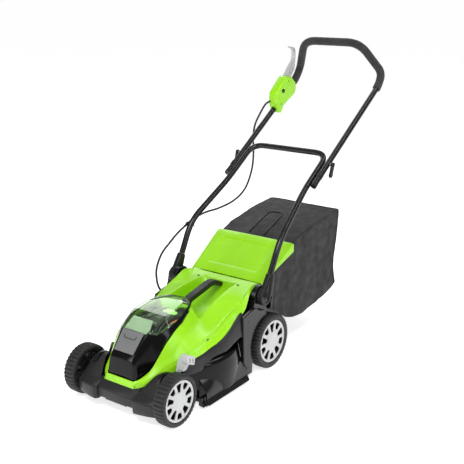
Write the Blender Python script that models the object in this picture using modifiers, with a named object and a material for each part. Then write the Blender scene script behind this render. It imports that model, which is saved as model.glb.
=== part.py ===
"""Cordless push lawn mower, as an assembly of separate parts on real joint axes.

Lengths are in metres and +Z is up. The mower faces -Y, and +X is on the left of
somebody pushing it from behind. Every position is written in the mower's own
frame, whose y = 0 lies halfway between the axles; the empty "mower" then shifts
the whole machine so that the origin is under the middle of its bounding box.
"""

import math

import bmesh
import bpy
from mathutils import Matrix, Vector

# ---- driving dimensions -------------------------------------------------------
WHEELBASE = 0.4654
FRONT_R = 0.076
REAR_R = 0.089
FRONT_HUB_R = 0.0615
REAR_HUB_R = 0.070
TYRE_WIDTH = 0.040
TYRE_SIDES = 36
CAP_SLOTS = 10                # openings round a hubcap
WHEEL_FACE_X = 0.193          # outer face of every wheel
CRANK = 0.045                 # offset between an axle's pivot and its wheels
CRANK_TILT = math.radians(22.5)
LINK_ARM = 0.085              # arm that carries the height link
BLADE_LENGTH = 0.340
CHAMBER_R = 0.178             # blade chamber, inside
DRUM_R = 0.183
DECK_BOTTOM = 0.012
DECK_TOP = 0.125
SPINE_X = 0.128               # half-width of the deck's front and rear blocks
TUBE_R = 0.010                # handle tubes
FOAM_R = 0.015
CABLE_R = 0.003
GAP = 0.0003                  # clearance left between touching pieces
BODY_SHIFT_Y = -0.329         # mower frame to bounding-box frame

FRONT_Y, REAR_Y = -WHEELBASE / 2, WHEELBASE / 2


def crank_pivot(wheel_y, wheel_z):
    """The pivot of a crank axle, behind and below its raised wheels."""
    return Vector((0, wheel_y + CRANK * math.cos(CRANK_TILT), wheel_z - CRANK * math.sin(CRANK_TILT)))


FRONT_PIVOT = crank_pivot(FRONT_Y, FRONT_R)
REAR_PIVOT = crank_pivot(REAR_Y, REAR_R)
LINK_PIN = Vector((0, LINK_ARM * math.sin(CRANK_TILT), LINK_ARM * math.cos(CRANK_TILT)))
HANDLE_PIVOT = Vector((0, 0.1995, 0.250))
LEG_ANGLE = math.radians(62.3)
UPPER_JOINT = Vector((0, 0.578, 0.6035))
FLAP_HINGE = Vector((0, 0.2405, 0.2645))
DOOR_HINGE = Vector((0, 0.012, 0.250))
BAIL_HINGE = Vector((-0.175, 0.868, 0.822))
BASE_LEVER_X = 0.1992         # cross pins that the quick-release levers turn on
JOINT_LEVER_X = 0.1943

COLOURS = {
    # name: (colour, roughness, metallic)
    "green_plastic": ((0.26, 0.62, 0.01), 0.35, 0.0),
    "black_plastic": ((0.018, 0.018, 0.019), 0.38, 0.0),
    "black_gloss": ((0.010, 0.010, 0.011), 0.15, 0.0),
    "grey_plastic": ((0.22, 0.22, 0.23), 0.45, 0.0),
    "silver_plastic": ((0.55, 0.56, 0.57), 0.35, 0.2),
    "tyre_rubber": ((0.020, 0.020, 0.021), 0.7, 0.0),
    "steel": ((0.55, 0.55, 0.56), 0.3, 1.0),
    "black_steel": ((0.02, 0.02, 0.022), 0.3, 0.4),
    "foam": ((0.03, 0.03, 0.032), 0.85, 0.0),
    "clear_window": ((0.55, 0.80, 0.55), 0.05, 0.0),
    "bag_fabric": ((0.035, 0.035, 0.037), 0.85, 0.0),
    "key_red": ((0.75, 0.10, 0.03), 0.4, 0.0),
    "battery_case": ((0.05, 0.055, 0.05), 0.5, 0.0),
    "cable": ((0.03, 0.03, 0.032), 0.5, 0.0),
}


# ---- scene, materials, placing ------------------------------------------------
def clear_scene():
    for obj in list(bpy.data.objects):
        bpy.data.objects.remove(obj, do_unlink=True)


def new_collection(name):
    group = bpy.data.collections.new(name)
    bpy.context.scene.collection.children.link(group)
    return group


clear_scene()
MOWER = new_collection("push_lawn_mower")
CUTTERS = new_collection("cutters")


def make_materials():
    made = {}
    for name, (colour, roughness, metallic) in COLOURS.items():
        mat = bpy.data.materials.new(name)
        mat.use_nodes = True
        shader = mat.node_tree.nodes["Principled BSDF"]
        shader.inputs["Base Color"].default_value = (*colour, 1)
        shader.inputs["Roughness"].default_value = roughness
        shader.inputs["Metallic"].default_value = metallic
        if name == "clear_window":
            shader.inputs["Alpha"].default_value = 0.4
        made[name] = mat
    return made


MATERIALS = make_materials()


def make_empty(name, place, parent=None):
    empty = bpy.data.objects.new(name, None)
    empty.location = place
    empty.parent = parent
    MOWER.objects.link(empty)
    return empty


ROOT = make_empty("mower", (0, BODY_SHIFT_Y, 0))


def pivot(name, place):
    """An empty on a joint's axis. Pieces on it keep coordinates in the mower's frame."""
    return make_empty(name, place, ROOT)


def attach(obj, parent):
    obj.parent = parent
    if parent is not ROOT:
        obj.matrix_parent_inverse = Matrix.Translation(-parent.location)


def piece(obj, name, material, parent=ROOT, smooth=True):
    """Name, finish and place one sub-part."""
    obj.name = name
    obj.data.name = name
    obj.data.materials.clear()
    obj.data.materials.append(MATERIALS[material])
    if smooth and obj.type == "MESH":
        obj.data.shade_smooth()
        obj.data.set_sharp_from_angle(angle=math.radians(35))
    attach(obj, parent)
    MOWER.objects.link(obj)
    return obj


def guide(obj, name):
    """A cutter or an added volume: used by a Boolean, never a part itself."""
    obj.name = name
    obj.hide_render = True
    obj.display_type = "WIRE"
    attach(obj, ROOT)
    CUTTERS.objects.link(obj)
    return obj


# ---- shapes -------------------------------------------------------------------
def mesh_object(bm):
    mesh = bpy.data.meshes.new("mesh")
    bm.normal_update()
    bm.to_mesh(mesh)
    bm.free()
    return bpy.data.objects.new("mesh", mesh)


def box(low, high):
    bm = bmesh.new()
    low, high = Vector(low), Vector(high)
    size = high - low
    fit = Matrix.Translation((low + high) / 2) @ Matrix.Diagonal((*size, 1))
    bmesh.ops.create_cube(bm, size=1, matrix=fit)
    return mesh_object(bm)


AXIS_TURNS = {
    # turns a solid built along local Z so that it runs along this axis
    "X": Matrix.Rotation(math.radians(90), 4, "Y"),
    "Y": Matrix.Rotation(math.radians(-90), 4, "X"),
    "Z": Matrix.Identity(4),
}


def cylinder(centre, radius, length, axis="X", sides=24, top_radius=None):
    bm = bmesh.new()
    bmesh.ops.create_cone(
        bm, cap_ends=True, segments=sides, radius1=radius,
        radius2=radius if top_radius is None else top_radius, depth=length,
        matrix=Matrix.Translation(centre) @ AXIS_TURNS[axis],
    )
    return mesh_object(bm)


def mesh_from_curve(obj):
    """A curve made a mesh, with its caps welded to its sides."""
    bpy.context.view_layer.update()
    shown = obj.evaluated_get(bpy.context.evaluated_depsgraph_get())
    mesh = bpy.data.meshes.new_from_object(shown)
    made = bpy.data.objects.new("mesh", mesh)
    made.matrix_world = obj.matrix_world
    bpy.data.objects.remove(obj, do_unlink=True)
    bm = bmesh.new()
    bm.from_mesh(mesh)
    bmesh.ops.remove_doubles(bm, verts=bm.verts, dist=1e-5)
    bmesh.ops.dissolve_limit(bm, angle_limit=math.radians(0.5), verts=bm.verts, edges=bm.edges)
    bm.to_mesh(mesh)
    bm.free()
    return made


PLANES = {
    # where an outline's own x, y and thickness point for each extrusion axis
    "X": Matrix(((0, 0, 1, 0), (1, 0, 0, 0), (0, 1, 0, 0), (0, 0, 0, 1))),
    "Y": Matrix(((1, 0, 0, 0), (0, 0, -1, 0), (0, 1, 0, 0), (0, 0, 0, 1))),
    "Z": Matrix.Identity(4),
}


def prism(outline, low, high, axis="X", holes=()):
    """A flat outline, (y, z), (x, z) or (x, y), extruded from low to high along an axis."""
    curve = bpy.data.curves.new("outline", "CURVE")
    curve.dimensions = "2D"
    curve.fill_mode = "BOTH"
    curve.extrude = (high - low) / 2
    for loop in (outline, *holes):
        spline = curve.splines.new("POLY")
        spline.points.add(len(loop) - 1)
        for point, (u, v) in zip(spline.points, loop):
            point.co = (u, v, 0, 1)
        spline.use_cyclic_u = True
    obj = bpy.data.objects.new("outline", curve)
    bpy.context.scene.collection.objects.link(obj)
    made = mesh_from_curve(obj)
    middle = -(low + high) / 2 if axis == "Y" else (low + high) / 2
    made.data.transform(PLANES[axis] @ Matrix.Translation((0, 0, middle)))
    return made


def arc(centre, radius, start, stop, steps):
    """Points along an arc, angles in degrees."""
    angles = [math.radians(start + (stop - start) * i / steps) for i in range(steps + 1)]
    return [(centre[0] + radius * math.cos(a), centre[1] + radius * math.sin(a)) for a in angles]


def circle(centre, radius, sides):
    return arc(centre, radius, 0, 360 - 360 / sides, sides - 1)


def filleted(points, radius, steps=4):
    """A path with each inner corner rounded by an arc-like curve."""
    path = [Vector(points[0])]
    for before, corner, after in zip(points, points[1:], points[2:]):
        before, corner, after = Vector(before), Vector(corner), Vector(after)
        reach = min(radius, (before - corner).length * 0.45, (after - corner).length * 0.45)
        start = corner + (before - corner).normalized() * reach
        end = corner + (after - corner).normalized() * reach
        for i in range(steps + 1):
            t = i / steps
            path.append(start * (1 - t) ** 2 + corner * 2 * t * (1 - t) + end * t * t)
    path.append(Vector(points[-1]))
    return path


def smooth_route(points, steps):
    """A Catmull-Rom curve through hand-picked points."""
    points = [Vector(p) for p in points]
    points = [points[0] * 2 - points[1], *points, points[-1] * 2 - points[-2]]
    path = []
    for a, b, c, d in zip(points, points[1:], points[2:], points[3:]):
        for i in range(steps):
            t = i / steps
            path.append(
                0.5 * (2 * b + (c - a) * t + (2 * a - 5 * b + 4 * c - d) * t * t
                       + (3 * b - 3 * c + d - a) * t ** 3)
            )
    path.append(points[-2])
    return path


def tube_curve(path, radius, resolution=2, caps=True, cyclic=False):
    curve = bpy.data.curves.new("tube", "CURVE")
    curve.dimensions = "3D"
    curve.bevel_depth = radius
    curve.bevel_resolution = resolution
    curve.use_fill_caps = caps
    spline = curve.splines.new("POLY")
    spline.points.add(len(path) - 1)
    for point, place in zip(spline.points, path):
        point.co = (*place, 1)
    spline.use_cyclic_u = cyclic
    return bpy.data.objects.new("tube", curve)


def tube_mesh(path, radius, resolution=2, caps=True):
    obj = tube_curve(path, radius, resolution, caps)
    bpy.context.scene.collection.objects.link(obj)
    return mesh_from_curve(obj)


def turned(profile, centre, axis="X", steps=32, outward=1, start=0.0):
    """A profile of (radius, height) points, run down its outer side, turned about an axis.

    The first profile line lies at the start angle from the bottom.
    """
    bm = bmesh.new()
    points = [bm.verts.new((r, 0, h)) for r, h in profile]
    closed = profile[0][0] > 0 or profile[-1][0] > 0
    for a, b in zip(points, points[1:] + (points[:1] if closed else [])):
        bm.edges.new((a, b))
    obj = mesh_object(bm)
    aim = AXIS_TURNS[axis] if outward > 0 else Matrix.Rotation(math.radians(180), 4, "Z") @ AXIS_TURNS[axis]
    obj.matrix_world = Matrix.Translation(centre) @ aim @ Matrix.Rotation(start, 4, "Z")
    screw = obj.modifiers.new("turn", "SCREW")
    screw.steps = screw.render_steps = steps
    screw.use_merge_vertices = True
    screw.merge_threshold = 0.00001
    return obj


def boolean(obj, other, name, operation="DIFFERENCE"):
    modifier = obj.modifiers.new(name, "BOOLEAN")
    modifier.operation = operation
    modifier.solver = "EXACT"
    modifier.object = guide(other, name)
    return obj


def cut(obj, other, name):
    return boolean(obj, other, name)


def join(obj, other, name):
    return boolean(obj, other, name, "UNION")


def soften(obj, width, segments=1, angle=40):
    """Rounded edges."""
    bevel = obj.modifiers.new("soften", "BEVEL")
    bevel.width = width
    bevel.segments = segments
    bevel.limit_method = "ANGLE"
    bevel.angle_limit = math.radians(angle)
    return obj


def shell(obj, thickness):
    """An open surface given a thickness on its inner side."""
    solid = obj.modifiers.new("wall", "SOLIDIFY")
    solid.thickness = thickness
    solid.offset = -1
    solid.use_even_offset = True
    return obj


def half_grid(stations, keep=lambda i, j: True):
    """An open surface through left-right symmetric stations of (x, y, z) half-sections.

    Each station starts on the middle plane and runs outward to +X.
    """
    bm = bmesh.new()
    rows = []
    for station in stations:
        right = [bm.verts.new(p) for p in station]
        left = [v if abs(p[0]) < 1e-9 else bm.verts.new((-p[0], p[1], p[2])) for v, p in zip(right, station)]
        rows.append((right, left))
    for i, (front, back) in enumerate(zip(rows, rows[1:])):
        for j in range(len(front[0]) - 1):
            if not keep(i, j):
                continue
            for side, flip in ((0, False), (1, True)):
                a, b = front[side][j], front[side][j + 1]
                c, d = back[side][j + 1], back[side][j]
                bm.faces.new((a, d, c, b) if flip else (a, b, c, d))
    loose = [v for v in bm.verts if not v.link_faces]
    bmesh.ops.delete(bm, geom=loose, context="VERTS")
    return mesh_object(bm)


def spans(side, inner, outer):
    """x limits of a piece on one side: side is +1 or -1."""
    return (inner, outer) if side > 0 else (-outer, -inner)


SIDES = (("left", 1), ("right", -1))


# ---- deck ---------------------------------------------------------------------
def deck_housing():
    """Drum around the blade, front axle box, and the rear duct that leads to the bag."""
    deck = turned(
        [(0, DECK_TOP), (DRUM_R - 0.012, DECK_TOP), (DRUM_R - 0.003, DECK_TOP - 0.006),
         (DRUM_R, DECK_TOP - 0.018), (DRUM_R, DECK_BOTTOM + 0.012), (DRUM_R + 0.005, DECK_BOTTOM + 0.008),
         (DRUM_R + 0.005, DECK_BOTTOM), (0, DECK_BOTTOM)],
        (0, 0, 0), "Z", steps=48,
    )
    front = [(-0.2495, 0.036), (-0.2495, 0.086), (-0.243, 0.094), (-0.10, 0.094), (-0.10, 0.036)]
    join(deck, prism(front, -SPINE_X, SPINE_X), "front_box")
    rear = [(0.05, 0.03), (0.20, 0.03), (0.2885, 0.05), (0.2885, 0.262), (0.218, 0.248), (0.19, 0.214),
            (0.16, 0.187), (0.115, 0.122), (0.05, 0.1215)]
    join(deck, prism(rear, -SPINE_X, SPINE_X), "rear_box")
    for name, side in SIDES:
        dome = [(-0.248, 0.09), *arc((-0.215, 0.104), 0.033, 175, 20, 8), (-0.175, 0.09)]
        join(deck, prism(dome, *spans(side, 0.1175, 0.1275)), f"front_dome_{name}")
    inside = SPINE_X - 0.004
    pocket = [(-inside, -0.245), (inside, -0.245)]
    pocket += [(x, -math.sqrt((DRUM_R - 0.0012) ** 2 - x * x)) for x in
               [inside * (1 - i / 6) for i in range(13)]]
    cut(deck, prism(pocket, 0.02, 0.090, "Z"), "front_pocket")
    cut(deck, cylinder((0, 0, 0.055), CHAMBER_R, 0.126, "Z", 48), "blade_chamber")
    duct = [(0.10, 0.036), (0.166, 0.036), (0.30, 0.171), (0.30, 0.2585), (0.2195, 0.2445), (0.192, 0.210),
            (0.1625, 0.183), (0.1165, 0.1165), (0.10, 0.1165)]
    cut(deck, prism(duct, -inside, inside), "grass_duct")
    under = [(0.187, 0.01), (0.187, 0.0515), (0.30, 0.1652), (0.30, 0.01)]
    cut(deck, prism(under, -inside, inside), "rear_pocket")
    cut(deck, cylinder((0, 0, 0.12), 0.0085, 0.04, "Z", 20), "shaft_hole")
    for name, place in (("front", FRONT_PIVOT), ("rear", REAR_PIVOT)):
        cut(deck, cylinder(place, 0.0054, 0.40, "X", 20), f"{name}_axle_hole")
    return piece(deck, "deck_housing", "black_gloss")


def front_bumper():
    """Bumper bar with a set-back middle and two stepped ends."""
    middle = prism([(-0.291, 0.042), (-0.2895, 0.070), (-0.2705, 0.0850), (-0.2500, 0.0850),
                   (-0.2500, 0.042)], -0.070, 0.070)
    for name, side in SIDES:
        end = [(0.060, -0.2905), (0.076, -0.302), (0.1465, -0.2865), (0.1465, -0.2500), (0.060, -0.2500)]
        if side < 0:
            end = [(-x, y) for x, y in reversed(end)]
        join(middle, prism(end, 0.034, 0.072, "Z"), f"bumper_end_{name}")
    return piece(middle, "front_bumper", "black_plastic")


def side_bracket(name, side):
    """Panel in front of the rear wheel that carries the handle's pivot boss."""
    wheel = (REAR_Y, REAR_R)
    pivot_yz = (HANDLE_PIVOT.y, HANDLE_PIVOT.z)
    panel = [(0.088, 0.212), (0.092, 0.060), (0.098, 0.0125), (0.1375, 0.0125),
             *arc(wheel, 0.0975, 200, 100, 8), (0.205, 0.204), (0.175, 0.211), (0.152, 0.226), (0.128, 0.222)]
    bracket = prism(panel, *spans(side, 0.1655, 0.178))
    soften(bracket, 0.002)
    block = [(0.134, 0.130), *arc(wheel, 0.0975, 157, 92, 6), (0.2285, 0.208), (0.140, 0.208)]
    join(bracket, prism(block, *spans(side, 0.1360, 0.1665)), f"bracket_block_{name}")
    boss = [(0.150, 0.206), *arc(pivot_yz, 0.033, 195, -15, 14), (0.2290, 0.206)]
    join(bracket, prism(boss, *spans(side, 0.1500, 0.1664)), f"bracket_boss_{name}")
    return piece(bracket, f"side_bracket_{name}", "black_plastic")


# ---- covers -------------------------------------------------------------------
# Half-sections of the top cover along its length:
# (y, x at the flat top's edge, z there, x and z of the shoulder, x and z of the lower edge, z of the recess)
COVER_STATIONS = (
    (-0.2685, 0.045, 0.110, 0.052, 0.109, 0.058, 0.088, 0.110),
    (-0.2450, 0.060, 0.116, 0.078, 0.112, 0.086, 0.099, 0.116),
    (-0.2150, 0.074, 0.129, 0.092, 0.135, 0.100, 0.110, 0.129),
    (-0.1830, 0.088, 0.190, 0.106, 0.178, 0.115, 0.117, 0.190),
    (-0.1550, 0.092, 0.213, 0.118, 0.198, 0.128, 0.124, 0.213),
    (-0.1100, 0.090, 0.233, 0.126, 0.208, 0.150, 0.130, 0.233),
    (-0.0500, 0.082, 0.250, 0.130, 0.215, 0.158, 0.140, 0.250),
    (0.0200, 0.078, 0.252, 0.135, 0.218, 0.164, 0.152, 0.238),
    (0.0480, 0.078, 0.254, 0.138, 0.224, 0.165, 0.161, 0.214),
    (0.0620, 0.078, 0.255, 0.139, 0.228, 0.165, 0.167, 0.196),
    (0.0780, 0.079, 0.256, 0.140, 0.231, 0.165, 0.172, 0.186),
    (0.0840, 0.080, 0.256, 0.141, 0.232, 0.1655, 0.215, 0.186),
    (0.1300, 0.084, 0.258, 0.148, 0.246, 0.1650, 0.224, 0.192),
    (0.1560, 0.086, 0.260, 0.142, 0.262, 0.1490, 0.254, 0.206),
    (0.1850, 0.088, 0.262, 0.137, 0.280, 0.1420, 0.268, 0.224),
    (0.2020, 0.088, 0.263, 0.134, 0.281, 0.1420, 0.270, 0.237),
    (0.2080, 0.088, 0.264, 0.133, 0.279, 0.1415, 0.269, 0.263),
    (0.2310, 0.088, 0.267, 0.125, 0.268, 0.1400, 0.262, 0.267),
)
RECESS_SHARE = 0.64           # recess half-width over the flat top's half-width

# Half-sections of the battery door:
# (y, x and z of its top edge, x and z where the window ends, x and z of its rim)
DOOR_STATIONS = (
    (-0.2660, 0.0400, 0.1130, 0.0450, 0.1120, 0.0485, 0.1110),
    (-0.2600, 0.0420, 0.1630, 0.0480, 0.1400, 0.0540, 0.1125),
    (-0.2520, 0.0430, 0.1760, 0.0510, 0.1480, 0.0590, 0.1170),
    (-0.2150, 0.0500, 0.2180, 0.0620, 0.1800, 0.0730, 0.1320),
    (-0.2040, 0.0520, 0.2290, 0.0660, 0.1980, 0.0770, 0.1480),
    (-0.1830, 0.0560, 0.2400, 0.0700, 0.2260, 0.0850, 0.1940),
    (-0.1550, 0.0600, 0.2540, 0.0780, 0.2330, 0.0890, 0.2150),
    (-0.1350, 0.0630, 0.2640, 0.0810, 0.2390, 0.0890, 0.2230),
    (-0.0900, 0.0600, 0.2720, 0.0790, 0.2500, 0.0860, 0.2400),
    (-0.0400, 0.0480, 0.2770, 0.0650, 0.2640, 0.0710, 0.2575),
    (-0.0050, 0.0360, 0.2740, 0.0480, 0.2660, 0.0530, 0.2610),
    (0.0200, 0.0220, 0.2640, 0.0300, 0.2600, 0.0340, 0.2570),
)
WINDOW_FIRST = 4              # the first station that the window reaches
DOOR_WALL = 0.0022


def cover_half(station, drop=0.0):
    y, x_flat, z_flat, x_shoulder, z_shoulder, x_low, z_low, z_recess = station
    x_recess = RECESS_SHARE * x_flat
    points = [(0, z_recess), (x_recess * 0.6, z_recess), (x_recess, z_recess + 0.1 * (z_flat - z_recess)),
              (x_flat * 0.92, z_flat), (0.7 * x_flat + 0.3 * x_shoulder, z_flat - 0.001),
              (x_shoulder, z_shoulder), (0.45 * x_shoulder + 0.55 * x_low, 0.45 * z_shoulder + 0.55 * z_low),
              (x_low, z_low)]
    return [(x, y, z - drop) for x, z in points]


def door_outline(margin):
    """Plan view of the door's rim, grown by a margin, as (x, y) points all the way round."""
    half = [(s[5] + margin, s[0]) for s in DOOR_STATIONS]
    half[0] = (half[0][0], half[0][1] - margin)
    half[-1] = (half[-1][0], half[-1][1] + margin)
    return half + [(-x, y) for x, y in reversed(half)]


def top_cover():
    """Moulded green shell over the deck, open in front for the battery door."""
    stations = [cover_half(s) for s in COVER_STATIONS]
    chin_z = COVER_STATIONS[0][6]
    chin = [(x, COVER_STATIONS[0][0] - 0.003, chin_z) for x, _, _ in stations[0]]
    cover = half_grid([chin, *stations])
    shell(cover, 0.003)
    cut(cover, prism(door_outline(0.0012), 0.10, 0.32, "Z"), "door_opening")
    cut(cover, box((-0.150, -0.172, 0.10), (-0.1275, -0.105, 0.1520)), "link_slot")
    return piece(cover, "top_cover", "green_plastic")


def door_half(station, window_only=False, gap=0.0):
    y, x_top, z_top, x_mid, z_mid, x_rim, z_rim = station
    top = [(0, y, z_top), (x_top * 0.8, y, z_top), (x_top, y, z_top - 0.002)]
    if window_only:
        slope = gap / math.hypot(x_mid - x_top, z_mid - z_top)
        return [*top, (x_mid - (x_mid - x_top) * slope, y, z_mid - (z_mid - z_top + 0.002) * slope)]
    return [*top, (x_mid, y, z_mid), (x_rim, y, z_rim)]


def battery_door(parent):
    frame = half_grid([door_half(s) for s in DOOR_STATIONS],
                      keep=lambda i, j: i < WINDOW_FIRST or j == 3 or i == len(DOOR_STATIONS) - 2)
    shell(frame, DOOR_WALL)
    piece(frame, "door_frame", "black_gloss", parent)
    glazed = [door_half(s, True, 0.0016) for s in DOOR_STATIONS[WINDOW_FIRST:-1]]
    glazed[0] = [(x, y + 0.0030, z + 0.0015) for x, y, z in glazed[0]]
    glazed[-1] = [(x, y - 0.0010, z) for x, y, z in glazed[-1]]
    window = shell(half_grid(glazed), DOOR_WALL - 0.0003)
    piece(window, "door_window", "clear_window", parent)
    start, end = DOOR_STATIONS[2], DOOR_STATIONS[4]
    slope = Vector((0, end[0] - start[0], end[2] - start[2])).normalized()
    out = Vector((0, -slope.z, slope.y))
    low = Vector((0, start[0], start[2])) + slope * 0.002 + out * 0.0012
    high = Vector((0, end[0], end[2])) - slope * 0.001 + out * 0.0012
    corners = [low, high, high + out * 0.0015, low + out * 0.0015]
    inlay = prism([(p.y, p.z) for p in corners], -0.037, 0.037)
    piece(inlay, "door_inlay", "grey_plastic", parent)
    pin = cylinder(DOOR_HINGE, 0.0020, 0.040, "X", 12)
    piece(pin, "door_hinge_pin", "steel")


def carry_grip():
    """Ribbed grip over the recess, for lifting the machine."""
    top = filleted([(0, 0.030, 0.2500), (0, 0.044, 0.2580), (0, 0.150, 0.2805), (0, 0.178, 0.2780),
                    (0, 0.204, 0.2620)], 0.03, 3)
    outline = [(p.y, p.z) for p in top] + [(p.y, p.z - 0.013) for p in reversed(top)]
    grip = prism(outline, -0.0125, 0.0125)
    soften(grip, 0.0025, 1)
    return piece(grip, "carry_grip", "black_plastic")


# ---- motor, battery and blade -------------------------------------------------
def drive():
    motor = turned([(0, 0.165), (0.040, 0.165), (0.045, 0.160), (0.045, 0.134), (0.062, 0.134),
                    (0.062, 0.1265), (0.0075, 0.1265), (0.0075, 0.158), (0, 0.158)], (0, 0, 0), "Z", 32)
    piece(motor, "motor_can", "grey_plastic")
    control = soften(box((-0.045, -0.165, 0.1265), (0.045, -0.075, 0.158)), 0.003)
    piece(control, "controller_box", "grey_plastic")
    bay = box((-0.056, -0.172, 0.168), (0.056, 0.000, 0.222))
    cut(bay, box((-0.0535, -0.1695, 0.1705), (0.0535, -0.0025, 0.26)), "bay_inside")
    piece(bay, "battery_bay", "black_plastic", smooth=False)
    rotor = pivot("blade_axis", (0, 0, 0))
    shaft = turned([(0, 0.155), (0.006, 0.155), (0.006, 0.0605), (0, 0.0605)], (0, 0, 0), "Z", 16)
    piece(shaft, "motor_shaft", "steel", rotor)
    hub = turned([(0, 0.0600), (0.014, 0.0600), (0.014, 0.050), (0.030, 0.047), (0.030, 0.0420), (0, 0.0420)],
                 (0, 0, 0), "Z", 24)
    piece(hub, "blade_adapter", "grey_plastic", rotor)
    half = BLADE_LENGTH / 2
    blade = prism([(-half, -0.018), (-half + 0.015, -0.024), (half, -0.024), (half, 0.018),
                   (half - 0.015, 0.024), (-half, 0.024)], 0.0385, 0.0415, "Z")
    for name, side in SIDES:
        lift = [(0.006, 0.0410), (0.024, 0.0410), (0.034, 0.0500), (0.031, 0.0510)]
        lift = [(side * y, z) for y, z in (lift if side > 0 else reversed(lift))]
        join(blade, prism(lift, *spans(side, half - 0.055, half - 0.002)), f"blade_lift_{name}")
    piece(blade, "blade", "steel", rotor, smooth=False)
    bolt = cylinder((0, 0, 0.0342), 0.011, 0.008, "Z", 6)
    piece(bolt, "blade_bolt", "steel", rotor, smooth=False)


def battery_pack():
    latch = pivot("battery_slide", (0, -0.085, 0.2))
    pack = soften(box((-0.037, -0.150, 0.1715), (0.037, -0.020, 0.236)), 0.004)
    piece(pack, "battery_pack", "battery_case", latch)
    slot = pivot("key_slide", (0.0475, -0.10, 0.2))
    key = prism([(0.0435, 0.1800), (0.0500, 0.1800), (0.0500, 0.205), (0.0520, 0.2085), (0.0520, 0.226),
                 (0.0425, 0.226), (0.0425, 0.2085), (0.0435, 0.205)], -0.095, -0.065, "Y")
    piece(key, "safety_key", "key_red", slot)


# ---- wheels and height adjustment ---------------------------------------------
def wheel(place, side, where, radius, hub_r):
    """Tyre, core and hubcap of one wheel, all turned about its stub axle.

    Profile heights are distances from the middle plane on the wheel's own side.
    """
    axis_y, axis_z = place
    spin = pivot(f"wheel_{where}", (0, axis_y, axis_z))
    face, width = WHEEL_FACE_X, TYRE_WIDTH
    centre = (0, axis_y, axis_z)
    half_step = math.pi / TYRE_SIDES
    outer_r = radius / math.cos(half_step)      # so that the flat under the wheel lies on the ground
    tyre = turned([(hub_r + 0.0004, face), (outer_r - 0.003, face), (outer_r, face - 0.003),
                   (outer_r, face - width + 0.003), (outer_r - 0.003, face - width),
                  (hub_r + 0.0004, face - width)], centre, "X", TYRE_SIDES, side, half_step)
    piece(tyre, f"tyre_{where}", "tyre_rubber", spin)
    inner = face - width + 0.002
    rim_r, hub = hub_r * math.cos(half_step) - GAP, 0.013
    core = turned([(rim_r, face - 0.006), (rim_r, inner), (rim_r - 0.004, inner),
                   (rim_r - 0.004, face - 0.012), (hub, face - 0.012), (hub, inner), (0.0054, inner),
                  (0.0054, face - 0.006)], centre, "X", 24, side)
    piece(core, f"wheel_core_{where}", "black_plastic", spin)
    slots = []
    for i in range(CAP_SLOTS):
        middle = 360 * i / CAP_SLOTS + 90
        outer = arc((axis_y, axis_z), rim_r * 0.88, middle - 11, middle + 11, 3)
        near = arc((axis_y, axis_z), rim_r * 0.48, middle + 8, middle - 8, 1)
        slots.append(outer + near)
    cap = prism(circle((axis_y, axis_z), rim_r, 36), *spans(side, face - 0.0055, face - 0.0010), holes=slots)
    piece(cap, f"hubcap_{where}", "silver_plastic", spin)


def crank_axle(name, centre, wheel_yz, parent):
    """A rod bent so that its stubs carry the wheels, with a welded arm for the height link."""
    stub_x, crank_x = 0.185, 0.1425
    half = [(stub_x, *wheel_yz), (crank_x, *wheel_yz), (crank_x, centre.y, centre.z)]
    path = filleted(half + [(-x, y, z) for x, y, z in reversed(half)], 0.007, 2)
    rod = tube_mesh(path, 0.005, 3)
    pin = centre + LINK_PIN
    reach = math.degrees(math.atan2(LINK_PIN.z, LINK_PIN.y))
    outline = arc((centre.y, centre.z), 0.010, reach + 90, reach + 270, 8)
    outline += arc((pin.y, pin.z), 0.007, reach - 90, reach + 90, 6)
    join(rod, prism(outline, -0.1340, -0.1310), f"{name}_arm")
    piece(rod, name, "steel", parent)


def height_gear():
    front = pivot("front_axle_pivot", FRONT_PIVOT)
    rear = pivot("rear_axle_pivot", REAR_PIVOT)
    crank_axle("front_axle", FRONT_PIVOT, (FRONT_Y, FRONT_R), front)
    crank_axle("rear_axle", REAR_PIVOT, (REAR_Y, REAR_R), rear)
    start, end = FRONT_PIVOT + LINK_PIN, REAR_PIVOT + LINK_PIN
    hanger = pivot("link_pivot", start)
    rod = prism([(start.y - 0.006, start.z - 0.004), (end.y + 0.006, end.z - 0.004),
                 (end.y + 0.006, end.z + 0.004), (start.y - 0.006, start.z + 0.004)], -0.1305, -0.1292)
    piece(rod, "height_link", "steel", hanger, smooth=False)
    stem = [(FRONT_PIVOT.y - 0.010, 0.050), (FRONT_PIVOT.y + 0.010, 0.050), (-0.150, 0.158), (-0.168, 0.158)]
    lever = prism(stem, 0.1297, 0.1355, holes=[circle((FRONT_PIVOT.y, FRONT_PIVOT.z), 0.0053, 16)])
    lug = [(-0.173, 0.1390), (-0.150, 0.1390), (-0.145, 0.1600), (-0.164, 0.1680)]
    join(lever, prism(lug, 0.1299, 0.1525), "lever_lug")
    knob = [(-0.168, 0.1555), (-0.1355, 0.1420), (-0.1310, 0.1660), (-0.1655, 0.1825)]
    join(lever, prism(knob, 0.1405, 0.1655), "lever_knob")
    piece(lever, "height_lever", "silver_plastic", front, smooth=False)
    return front, rear


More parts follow.
